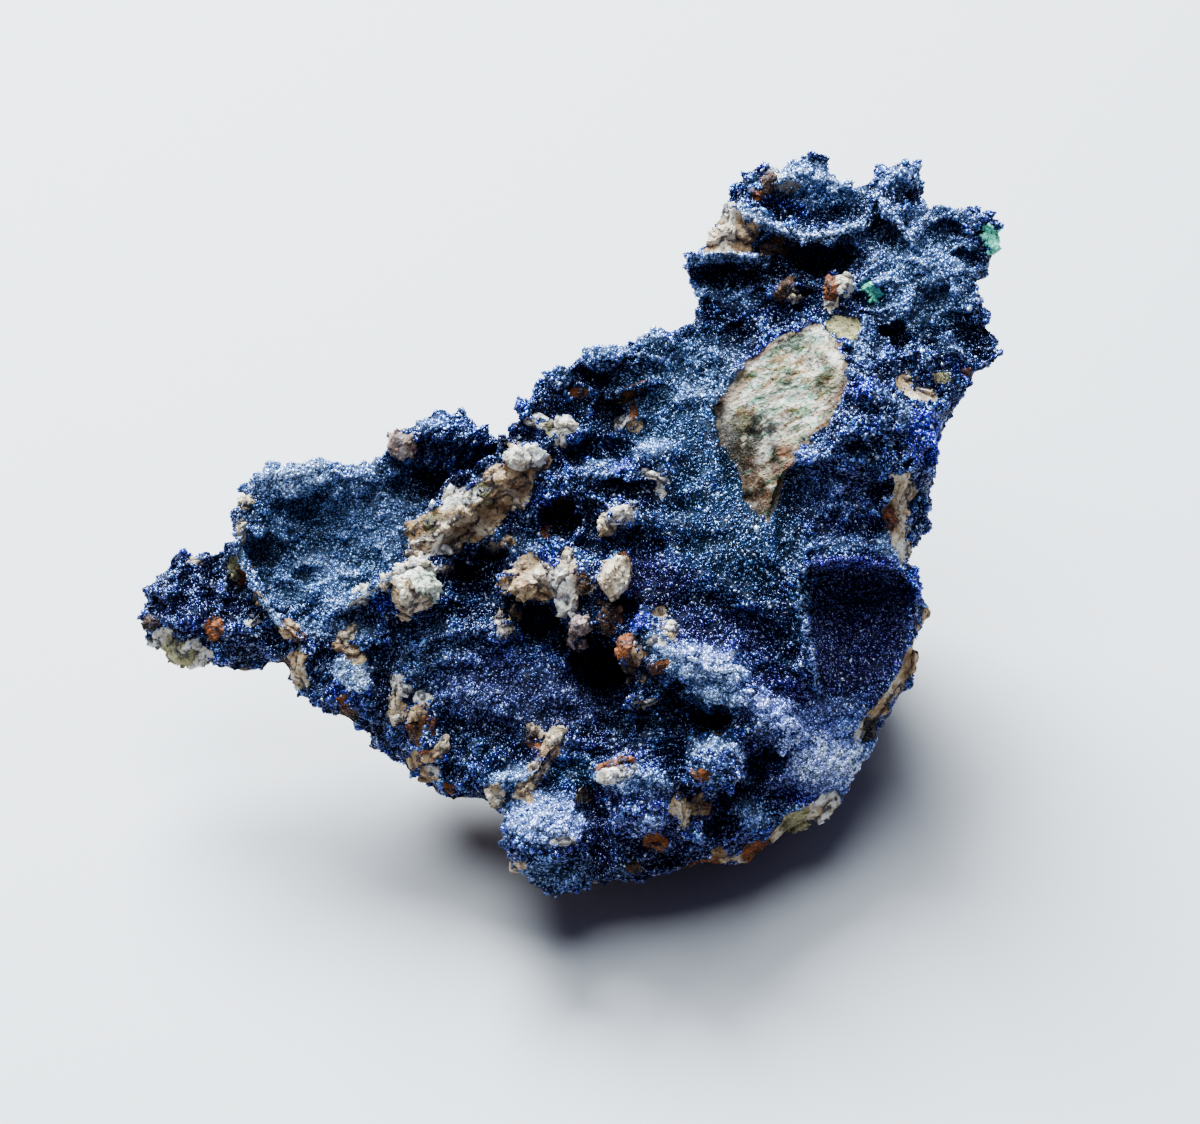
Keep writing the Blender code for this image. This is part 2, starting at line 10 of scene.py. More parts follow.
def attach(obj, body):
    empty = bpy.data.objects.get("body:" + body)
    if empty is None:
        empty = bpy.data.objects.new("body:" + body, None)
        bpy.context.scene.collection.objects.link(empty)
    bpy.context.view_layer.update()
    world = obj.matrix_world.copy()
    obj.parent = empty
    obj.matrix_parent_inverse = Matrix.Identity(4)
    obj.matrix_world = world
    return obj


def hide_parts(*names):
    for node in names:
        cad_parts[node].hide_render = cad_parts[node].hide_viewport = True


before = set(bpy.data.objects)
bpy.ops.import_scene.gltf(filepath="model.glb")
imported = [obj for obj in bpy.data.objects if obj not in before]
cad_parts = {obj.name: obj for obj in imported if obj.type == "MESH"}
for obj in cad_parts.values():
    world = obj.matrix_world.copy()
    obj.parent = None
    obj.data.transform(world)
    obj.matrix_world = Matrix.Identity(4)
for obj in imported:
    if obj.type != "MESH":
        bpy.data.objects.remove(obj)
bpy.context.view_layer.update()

NODE = "azurite_specimen"
MM = 0.001  # lengths below are in millimetres, and become metres at the end

# The view that the coordinates in the tables belong to: 1200 by 1124 pixels, looking down at the stone.
VIEW_WIDTH = 1200.0
VIEW_HEIGHT = 1124.0
LENS = 120.0
SENSOR = 36.0
DISTANCE = 400.0
LOOK_DOWN = math.radians(45.0)
TARGET = Vector((2.815, 2.86, 20.0))
FORWARD = Vector((0.0, math.cos(LOOK_DOWN), -math.sin(LOOK_DOWN)))
UPWARD = Vector((0.0, math.sin(LOOK_DOWN), math.cos(LOOK_DOWN)))
EYE = TARGET - FORWARD * DISTANCE
PIXEL = SENSOR / LENS / VIEW_WIDTH  # width of one pixel at unit distance
PIXEL_SIZE = PIXEL * DISTANCE  # width of one pixel at the stone

FLOOR_HALF = 3.0  # metres, like the places and sizes of the lamps
FLOOR_COLOUR = (0.49, 0.48, 0.47, 1.0)
SKY_COLOUR = (0.46, 0.52, 1.0, 1.0)
SKY_STRENGTH = 0.2
LAMP_COLOUR = (0.82, 0.92, 1.0)
LAMPS = [("window", (-0.25, 0.78, 0.88), 0.8, 66.0), ("ceiling", (-0.15, 0.05, 1.2), 0.9, 17.0)]  # watts last

BODY_VOXEL = 0.455
FACET_EASING = 5  # rounds that even out the solid's facets
COAT_ROOM = 0.55  # how far the body is drawn in, so that the crystals' tips keep to the outline
COAT_EDGE = 0.45  # how far the coated part stands above the bare rock
DOME_GAIN = 1.45  # what the heights in the tables are multiplied by, and likewise below
PIT_GAIN = 0.85
RIDGE_GAIN = 1.2
LUMP_WAY = (0.55, 0.45)  # how far lumps rise towards the eye, and along the surface's own direction
WAVER = 3.2  # pixels by which the outlines of lumps and hollows waver
FRAY = 3.0  # pixels by which the edges of bare rock waver
FACE_FLATTENING = 0.7  # how far the broken face is evened out
FACE_SINK = 0.35
COARSE_CHIPS, FINE_CHIPS = (6.5, 0.75), (2.6, 0.6)  # size of chips on the hidden sides, share of their height
LUMPS, SMALL_LUMPS = (2.4, 1.0), (1.2, 0.65)  # size of the coat's lumps, their height
CRYSTAL_SHEETS = 5
CRYSTALS_A_SHEET = 18400
CRYSTAL_LENGTH = 0.34  # the middle of their lengths
CRYSTAL_LENGTHS = (0.2, 0.7)
CRYSTAL_SHAPES = [  # sides of a bipyramid, or 0 for a tablet; three sizes; lean
    (3, 1.25, 1.0, 0.8, 0.2), (4, 1.2, 0.85, 0.8, 0.3), (3, 1.0, 1.3, 1.0, -0.3), (0, 1.2, 0.95, 0.6, 0.3),
]
CRYSTAL_SHARES = [0.35, 0.30, 0.25, 0.10]
SPARKLING = 0.14  # the share of the crystals painted near white as glints that catch the light
GRAIN_SHARES = [0.3, 0.3, 0.1, 0.3]
GRAINS = 6000
GRAIN_SIZES = (0.35, 1.0)
MALACHITE_GRAINS = 900
MALACHITE_SIZES = (0.3, 0.65)
BLOCK_GROWTH = 2.7  # a block's width for each half width of its oval, before its corners are cut off
BLOCK_CUTS = 7
BLOCK_EDGES = (0.9, 0.6, 0.5)  # in each round of refining, edges longer than this are halved
BLOCK_SEED = 31
RANDOM = np.random.default_rng(20)
noise.seed_set(11)  # without this, noise_vector would give something else at each run
SHIFT = Vector((13.7, 5.1, 9.3))  # moves every noise off its origin
CLEAR = 0.15  # how far off the surface a sight line to the sky starts
SKIN = 0.3  # how far below the surface the thickness is measured from

# Relief of the upper face. Each oval is its middle in the view, its two half widths, the turn of the
# first one from level in degrees, and how many millimetres it stands out or goes in.
DOMES = [
    # top
    (815, 152, 12, 10, 0, 0.6), (815, 182, 40, 15, -8, 1.0), (900, 176, 24, 14, 0, 0.8),
    (770, 188, 18, 14, 20, 0.7), (728, 211, 11, 9, 0, 0.7), (722, 236, 18, 12, 20, 0.8),
    (748, 232, 16, 11, 0, 0.7), (692, 268, 10, 12, 0, 0.8), (705, 293, 14, 8, 0, 0.7),
    (740, 299, 17, 9, 0, 0.8), (688, 309, 12, 9, 20, 0.6), (722, 306, 10, 8, 0, 0.5),
    (757, 312, 14, 9, -20, 0.6), (676, 331, 13, 9, 0, 0.6), (701, 326, 11, 8, 0, 0.5),
    (908, 258, 14, 11, 0, 0.8), (880, 256, 15, 9, 0, 0.7), (940, 254, 11, 7, 0, 0.5),
    (888, 278, 14, 8, -15, 0.7), (930, 269, 11, 9, 0, 0.5), (952, 273, 10, 8, 0, 0.5),
    (897, 311, 20, 15, 0, 1.1), (861, 309, 14, 8, 10, 0.7), (862, 337, 12, 22, -5, 0.8),
    (893, 352, 10, 9, 0, 0.9), (920, 350, 14, 12, 0, 0.7), (930, 370, 16, 10, -25, 0.7),
    (950, 346, 18, 9, -35, 0.9), (906, 205, 12, 9, 0, 0.6), (928, 212, 12, 8, 0, 0.5),
    (950, 207, 14, 7, -15, 0.6), (968, 232, 11, 8, 0, 0.5), (948, 306, 12, 9, 0, 0.5),
    (971, 307, 9, 8, 0, 0.5), (955, 290, 12, 8, 0, 0.4), (838, 287, 17, 17, 0, 0.8),
    (789, 287, 15, 11, 15, 0.7), (806, 312, 15, 7, 20, 0.5), (830, 310, 14, 7, 0, 0.5),
    # bulge on the right and its plate
    (872, 392, 20, 18, 0, 0.8), (870, 430, 24, 18, 0, 0.7), (905, 424, 10, 24, -8, 0.6),
    (925, 432, 16, 38, -6, 0.8), (812, 455, 24, 13, 12, 1.0), (850, 462, 18, 12, 0, 0.6),
    (885, 465, 20, 12, 20, 0.6), (840, 438, 15, 11, 0, 0.5), (862, 508, 22, 13, 0, 0.8),
    (835, 500, 15, 12, 0, 0.5), (850, 545, 50, 14, 0, 0.7),
    # back ridge
    (607, 357, 30, 17, 10, 1.2), (640, 357, 24, 13, -10, 0.8), (651, 336, 13, 8, 0, 0.5),
    (560, 376, 18, 17, 0, 1.0), (526, 405, 19, 11, 20, 0.8), (566, 398, 18, 8, 0, 0.6),
    (583, 430, 14, 9, 0, 0.6), (566, 431, 13, 17, 10, 0.9), (534, 423, 15, 8, -10, 0.7),
    (623, 422, 13, 11, 0, 0.8), (648, 449, 20, 13, 20, 0.9), (625, 468, 17, 11, 10, 1.0),
    (598, 470, 19, 12, 0, 0.9), (575, 440, 11, 7, 0, 0.4), (688, 394, 22, 12, 15, 0.6),
    (660, 415, 12, 8, 0, 0.4), (690, 490, 13, 8, 0, 0.5), (665, 360, 12, 8, 0, 0.4),
    (690, 350, 13, 8, 0, 0.4), (676, 376, 13, 8, 0, 0.4),
    # middle
    (523, 456, 22, 13, 20, 0.9), (545, 478, 24, 12, 0, 0.7), (555, 495, 26, 10, 0, 0.9),
    (545, 548, 22, 12, 0, 0.6), (572, 542, 10, 9, 0, 0.6), (413, 590, 28, 32, 10, 1.0),
    (585, 560, 10, 18, 0, 0.6), (578, 633, 14, 20, 5, 1.1), (608, 622, 13, 17, 0, 1.0),
    (505, 628, 20, 18, 0, 0.9), (450, 568, 12, 8, 0, 0.6), (614, 573, 17, 27, -22, 0.9),
    (620, 520, 20, 16, 15, 0.9), (640, 622, 13, 11, 0, 0.9), (668, 628, 14, 13, 0, 0.9),
    (630, 655, 16, 22, 0, 1.1), (657, 667, 12, 11, 0, 0.7), (640, 600, 20, 20, 0, 0.5),
    (655, 690, 20, 14, 0, 0.6), (632, 704, 32, 9, 8, 0.9),
    # left lobe and basin
    (185, 560, 28, 14, 0, 0.7), (165, 590, 22, 20, 20, 0.8), (210, 590, 24, 16, 0, 0.6),
    (186, 625, 22, 13, 0, 0.8), (186, 658, 26, 15, -5, 0.8), (248, 636, 25, 19, 0, 1.0),
    (220, 656, 20, 12, 0, 0.8), (150, 620, 16, 16, 0, 0.6), (226, 545, 13, 9, 0, 0.6),
    (244, 480, 11, 10, 0, 0.8), (290, 480, 42, 24, 10, 1.3), (330, 478, 26, 13, 0, 0.9),
    (278, 485, 13, 10, 0, 0.7), (250, 507, 12, 9, 0, 0.6), (270, 505, 12, 9, 0, 0.6),
    (256, 527, 13, 9, 0, 0.6), (286, 524, 16, 14, 0, 0.9), (305, 541, 11, 7, 0, 0.5),
    (313, 561, 21, 11, 5, 0.8), (342, 573, 20, 10, -20, 0.8), (320, 589, 16, 9, 0, 0.7),
    (345, 492, 15, 9, 0, 0.5), (335, 470, 16, 9, 10, 0.5), (360, 480, 16, 10, 0, 0.5),
    (330, 610, 20, 8, 0, 0.5), (380, 545, 14, 9, 0, 0.5), (285, 578, 18, 12, 0, 0.6),
    (400, 444, 20, 16, 30, 1.0), (438, 432, 28, 17, 0, 1.0), (470, 440, 22, 18, 0, 0.9),
    (430, 462, 30, 10, 0, 0.6), (370, 455, 18, 9, 10, 0.5),
    # front left edge and plateau
    (355, 678, 28, 24, -20, 1.2), (322, 700, 20, 16, 0, 0.8), (380, 640, 22, 14, 0, 0.6),
    (300, 668, 14, 20, -15, 0.6), (425, 640, 22, 12, 0, 0.6), (462, 630, 18, 11, 0, 0.5),
    (450, 662, 22, 12, 10, 0.7), (416, 668, 16, 12, 0, 0.6), (455, 695, 26, 18, 10, 0.9),
    (425, 712, 18, 18, 0, 0.8), (500, 700, 22, 14, 0, 0.5), (545, 668, 36, 17, 5, 0.8),
    (560, 696, 28, 13, 0, 0.8), (520, 720, 20, 12, 0, 0.4), (535, 640, 20, 11, 0, 0.6),
    (430, 745, 20, 18, 0, 0.7), (475, 768, 22, 16, 0, 0.6), (445, 785, 22, 14, -10, 0.6),
    (505, 780, 24, 13, 15, 1.0), (572, 745, 16, 24, -10, 0.6), (610, 740, 22, 12, 0, 0.5),
    # front lobes
    (545, 828, 44, 38, 10, 1.6), (550, 875, 34, 22, 0, 0.8), (575, 800, 16, 12, 0, 0.7),
    (625, 775, 38, 19, -5, 1.6), (640, 815, 34, 22, 0, 1.5), (655, 845, 22, 14, 0, 0.7),
    (625, 865, 24, 14, 0, 0.6), (714, 766, 32, 28, 0, 2.6), (650, 735, 26, 18, 0, 0.8),
    (700, 668, 48, 20, -12, 1.3), (712, 698, 40, 16, -8, 1.1), (765, 715, 22, 14, -30, 0.7),
    (748, 732, 12, 9, 0, 0.8), (783, 738, 20, 16, -20, 0.7), (825, 765, 42, 20, 5, 1.1),
    (745, 815, 24, 13, -25, 0.9), (760, 836, 24, 12, -20, 0.7), (700, 840, 18, 18, 0, 0.7),
    (720, 860, 20, 12, 0, 0.6), (688, 868, 20, 9, 0, 0.5), (775, 785, 14, 12, 0, 0.6),
    (800, 810, 22, 10, 15, 0.5),
    # druse floor
    (700, 520, 34, 16, 0, 0.25), (655, 520, 26, 12, 0, 0.3), (740, 555, 36, 12, 0, 0.25),
    (760, 605, 26, 9, -10, 0.4), (700, 575, 30, 12, -20, 0.3), (720, 650, 36, 16, -10, 0.4),
    (665, 565, 26, 12, 0, 0.3), (740, 590, 20, 8, 0, 0.3),
]
PITS = [
    # top
    (842, 214, 24, 7, 0, 1.8), (790, 213, 22, 6, -15, 1.6), (826, 258, 40, 13, 0, 3.0),
    (854, 258, 11, 11, 0, 1.4), (730, 275, 42, 11, 0, 3.0), (772, 268, 20, 9, 0, 1.8),
    (803, 297, 15, 9, 15, 2.2), (742, 338, 20, 15, 0, 2.0), (914, 195, 14, 6, 0, 1.6),
    (889, 232, 19, 9, -35, 2.6), (932, 233, 15, 7, 10, 1.4), (950, 226, 13, 9, 20, 2.0),
    (975, 256, 25, 6, -3, 2.2), (896, 335, 15, 11, 20, 3.0), (868, 299, 19, 7, 0, 2.4),
    (886, 322, 6, 12, 0, 1.4), (975, 332, 22, 12, -25, 1.8), (985, 353, 15, 9, 0, 1.2),
    (885, 372, 10, 16, 0, 1.6), (852, 368, 8, 9, 0, 1.6), (858, 405, 14, 8, -20, 1.4),
    (848, 386, 8, 6, 0, 1.0), (935, 292, 14, 8, 0, 1.0), (935, 340, 8, 10, 0, 1.0),
    (970, 283, 10, 6, 0, 0.8), (955, 322, 14, 6, -10, 0.8), (702, 317, 20, 4, 0, 0.7),
    (672, 318, 10, 5, 0, 0.8), (862, 446, 22, 6, 5, 1.2), (830, 425, 10, 6, 0, 0.8),
    (900, 448, 8, 10, 0, 0.8), (880, 490, 12, 8, 0, 1.0), (796, 495, 20, 26, 0, 1.8),
    (788, 535, 12, 24, 0, 2.0), (882, 530, 12, 8, -30, 1.6), (900, 395, 7, 9, 0, 1.0),
    # back ridge
    (597, 379, 24, 8, -18, 3.0), (652, 368, 12, 5, 0, 1.2), (610, 412, 13, 20, 15, 2.2),
    (650, 401, 16, 6, 0, 1.8), (513, 437, 21, 8, 15, 2.4), (588, 451, 28, 8, 0, 1.8),
    (625, 489, 42, 8, -4, 2.6), (550, 462, 12, 12, -40, 1.2), (665, 505, 30, 6, 0, 1.0),
    (615, 448, 12, 8, 0, 1.4), (640, 430, 8, 10, 0, 1.0), (545, 412, 16, 4, 10, 1.0),
    (700, 370, 12, 5, 0, 0.8), (680, 405, 22, 5, 0, 0.8), (728, 385, 8, 20, -30, 0.8),
    # middle
    (562, 520, 21, 15, 0, 4.2), (532, 530, 13, 6, 0, 1.8), (590, 522, 8, 20, 0, 2.6),
    (475, 583, 30, 19, 0, 4.0), (490, 560, 24, 11, 0, 2.6), (542, 625, 26, 20, -30, 3.6),
    (560, 640, 14, 18, 0, 2.6), (600, 668, 30, 42, 0, 4.0), (585, 605, 8, 13, 20, 1.8),
    (588, 545, 10, 12, 0, 1.6), (624, 610, 7, 18, 0, 1.8), (430, 483, 44, 14, 12, 3.4),
    (392, 552, 9, 18, 0, 2.0), (655, 547, 12, 8, 0, 1.2), (690, 546, 9, 6, 0, 0.9),
    (475, 468, 24, 8, 25, 1.8), (655, 688, 9, 5, 0, 1.2), (676, 692, 6, 18, -5, 2.4),
    (632, 684, 5, 4, 0, 0.9), (470, 610, 40, 8, 0, 1.4),
    # left lobe and basin
    (262, 552, 17, 15, 0, 3.0), (303, 515, 15, 8, 0, 0.9), (345, 522, 26, 8, 0, 0.7),
    (318, 496, 14, 5, 0, 0.6), (266, 575, 11, 9, 0, 1.6), (303, 577, 9, 8, 0, 1.8),
    (342, 600, 9, 6, 20, 1.2), (190, 600, 40, 9, 0, 1.0), (236, 590, 11, 18, -10, 1.8),
    (205, 575, 22, 5, 0, 0.8), (225, 620, 12, 6, 0, 1.2), (360, 500, 20, 6, 0, 0.8),
    (265, 490, 10, 6, 0, 1.0), (155, 605, 10, 10, 0, 1.0), (365, 560, 14, 8, 0, 0.8),
    (340, 548, 12, 6, 0, 0.7),
    # front left and plateau
    (492, 657, 18, 8, -45, 2.0), (436, 649, 12, 7, 0, 1.2), (560, 716, 28, 6, 0, 1.4),
    (385, 690, 6, 26, 0, 1.6), (390, 655, 20, 7, -10, 1.0), (475, 645, 12, 6, 0, 1.0),
    (495, 730, 26, 12, 0, 1.0), (460, 725, 16, 8, 0, 0.9), (430, 735, 10, 6, 0, 1.0),
    (455, 775, 12, 7, 0, 1.2), (525, 755, 16, 7, 20, 0.9), (330, 712, 14, 8, 0, 1.0),
    (320, 655, 10, 8, 0, 0.8), (400, 625, 18, 5, 0, 0.6), (505, 680, 20, 6, 0, 0.8),
    (548, 790, 12, 5, 0, 1.2),
    # front lobes
    (708, 724, 42, 7, 0, 2.6), (756, 772, 7, 24, 5, 2.2), (775, 757, 16, 9, 0, 1.6),
    (640, 725, 30, 8, 0, 1.4), (803, 735, 9, 12, 0, 1.8), (680, 790, 14, 12, 0, 1.6),
    (790, 797, 26, 6, 8, 1.8), (720, 822, 18, 18, 0, 2.0), (600, 850, 8, 34, 0, 2.6),
    (640, 790, 40, 5, 0, 1.0), (665, 862, 20, 8, 0, 1.4), (735, 800, 14, 9, 0, 1.6),
    (570, 870, 26, 9, 15, 1.0), (592, 800, 8, 14, 0, 1.8), (750, 795, 10, 18, 0, 1.0),
    (674, 775, 7, 20, 0, 1.8), (712, 797, 28, 6, 0, 1.6),
    # druse floor
    (745, 622, 36, 10, -22, 1.6), (768, 640, 18, 14, 0, 1.6), (790, 640, 8, 30, 0, 1.2),
    (700, 545, 28, 6, 0, 0.7), (730, 470, 8, 30, 14, 2.0), (725, 425, 6, 20, 5, 1.4),
    (720, 600, 26, 6, 0, 0.9), (680, 600, 14, 10, 0, 0.8),
]
# Edges that stand out and creases that go in: points in the view, half width, millimetres.
RIDGES = [
    ([(738, 208), (750, 216), (765, 224), (785, 232), (805, 237), (826, 237), (846, 231), (862, 227)],
     8, 1.6),
    ([(686, 262), (700, 258), (720, 255), (745, 257), (765, 262)], 7, 1.5),
    ([(876, 196), (886, 209), (897, 223), (911, 242)], 7, 1.8),
    ([(604, 395), (625, 389), (645, 382), (660, 380)], 5, 1.2),
    ([(497, 440), (512, 427), (528, 414)], 6, 1.0),
    ([(345, 607), (360, 599), (378, 589), (391, 580)], 8, 1.6),
    ([(242, 505), (239, 522), (240, 545), (246, 570), (258, 592), (272, 612), (288, 628), (305, 642)],
     7, 1.2),
    ([(800, 570), (815, 565), (832, 562), (855, 560), (876, 562), (892, 568), (907, 577), (917, 590)],
     7, 1.0),
    ([(803, 575), (803, 600), (808, 630), (812, 660), (815, 685)], 7, 0.9),
    ([(917, 590), (914, 615), (908, 640), (900, 665), (888, 690)], 8, 0.8),
    ([(660, 640), (680, 648), (700, 660), (725, 672), (745, 688)], 12, 0.8),
    ([(560, 724), (552, 745), (540, 765), (522, 790)], 7, 1.0),
    ([(788, 440), (785, 460), (780, 482), (772, 505)], 5, 0.8),
    ([(823, 320), (842, 338), (850, 365), (840, 388), (822, 408), (806, 430), (790, 440)], 4, 0.6),
    ([(905, 398), (925, 396), (941, 402), (938, 430), (930, 470)], 5, 0.7),
    ([(720, 405), (730, 385), (748, 361), (770, 343), (798, 328), (822, 319)], 4, 0.6),
    ([(500, 858), (516, 872), (542, 863), (575, 846), (588, 828)], 6, 0.5),
]
CREASES = [
    ([(240, 600), (255, 615), (268, 630), (280, 645)], 6, 1.4),
    ([(588, 800), (594, 830), (598, 870)], 7, 1.6),
    ([(721, 410), (727, 440), (740, 470), (752, 498)], 7, 1.8),
    ([(783, 520), (792, 545), (796, 570)], 8, 1.4),
    ([(690, 790), (694, 815), (690, 840)], 7, 1.2),
    ([(760, 740), (752, 765), (744, 792)], 8, 1.6),
    ([(460, 640), (480, 650), (500, 668), (515, 672)], 6, 1.0),
    ([(640, 498), (665, 505), (690, 512)], 6, 0.8),
    ([(385, 672), (384, 700), (382, 722)], 5, 1.0),
]
# The deep hollow on the right, under its curved lip: outline, depth under the lip and at the bottom.
HOLLOW = [
    (801, 576), (815, 570), (832, 567), (855, 565), (875, 567), (890, 573), (905, 582), (912, 596),
    (908, 620), (902, 648), (892, 676), (874, 698), (846, 702), (824, 692), (813, 668), (807, 640),
    (803, 608),
]
HOLLOW_DEPTH = (2.5, 0.7)
HOLLOW_LIP, HOLLOW_FALL = 566, 130  # pixels down to the lip, and from there to the bottom

# Bare rock where the coat has broken away: outline in the view and stain.
BARE_OUTLINES = {
    "broken face": (
        [(717, 405), (728, 383), (745, 358), (768, 340), (796, 326), (822, 317), (841, 338), (850, 362),
         (841, 388), (828, 410), (816, 430), (798, 441), (789, 450), (791, 466), (786, 486), (780, 505),
         (770, 524), (757, 515), (744, 494), (736, 472), (724, 445), (719, 426)],
        "mottled"),
    "face corner": (
        [(828, 318), (852, 314), (858, 322), (850, 340), (840, 333)],
        "olive"),
    "long patch": (
        [(405, 545), (406, 522), (418, 512), (438, 505), (440, 488), (456, 484), (474, 486), (484, 474),
         (500, 466), (505, 450), (520, 443), (540, 446), (548, 458), (536, 474), (532, 486), (524, 504),
         (508, 514), (494, 530), (480, 542), (462, 546), (450, 552), (425, 556)],
        "tan"),
    "cube": (
        [(390, 572), (400, 556), (420, 552), (436, 562), (445, 580), (442, 604), (424, 614), (404, 624),
         (394, 604)],
        "white"),
    "bow tie": (
        [(494, 594), (512, 574), (518, 552), (530, 552), (548, 564), (562, 560), (568, 545), (576, 548),
         (578, 572), (592, 590), (582, 604), (574, 618), (560, 614), (552, 604), (520, 602)],
        "cream"),
    "oval": (
        [(597, 580), (604, 560), (617, 547), (629, 556), (631, 574), (622, 594), (607, 598)],
        "cream"),
    "right rim": (
        [(936, 594), (944, 606), (940, 632), (930, 656), (912, 680), (894, 704), (878, 726), (864, 742),
         (860, 728), (876, 708), (892, 690), (905, 668), (918, 640), (930, 612)],
        "tan"),
    "lower right": (
        [(790, 816), (806, 806), (826, 802), (842, 794), (840, 812), (826, 834), (806, 850), (782, 858),
         (756, 868), (738, 874), (736, 862), (752, 850), (774, 844)],
        "cream"),
    "right strip": (
        [(892, 480), (918, 474), (915, 500), (908, 520), (914, 548), (914, 562), (900, 546), (888, 528),
         (884, 508), (893, 496)],
        "cream"),
    "left chunk": (
        [(142, 650), (164, 632), (172, 644), (200, 640), (212, 656), (204, 672), (180, 672), (164, 662)],
        "olive"),
    "left rim": (
        [(256, 590), (266, 600), (276, 612), (268, 614), (254, 602)],
        "cream"),
    "top left": (
        [(700, 246), (708, 228), (720, 204), (738, 204), (742, 222), (760, 232), (756, 248), (730, 254)],
        "tan"),
    "tan corner": (
        [(283, 652), (300, 646), (310, 664), (310, 684), (296, 690), (286, 672)],
        "tan"),
    "long strip": (
        [(560, 722), (568, 730), (556, 756), (546, 778), (528, 798), (508, 800), (526, 780), (540, 764),
         (546, 744)],
        "cream"),
}

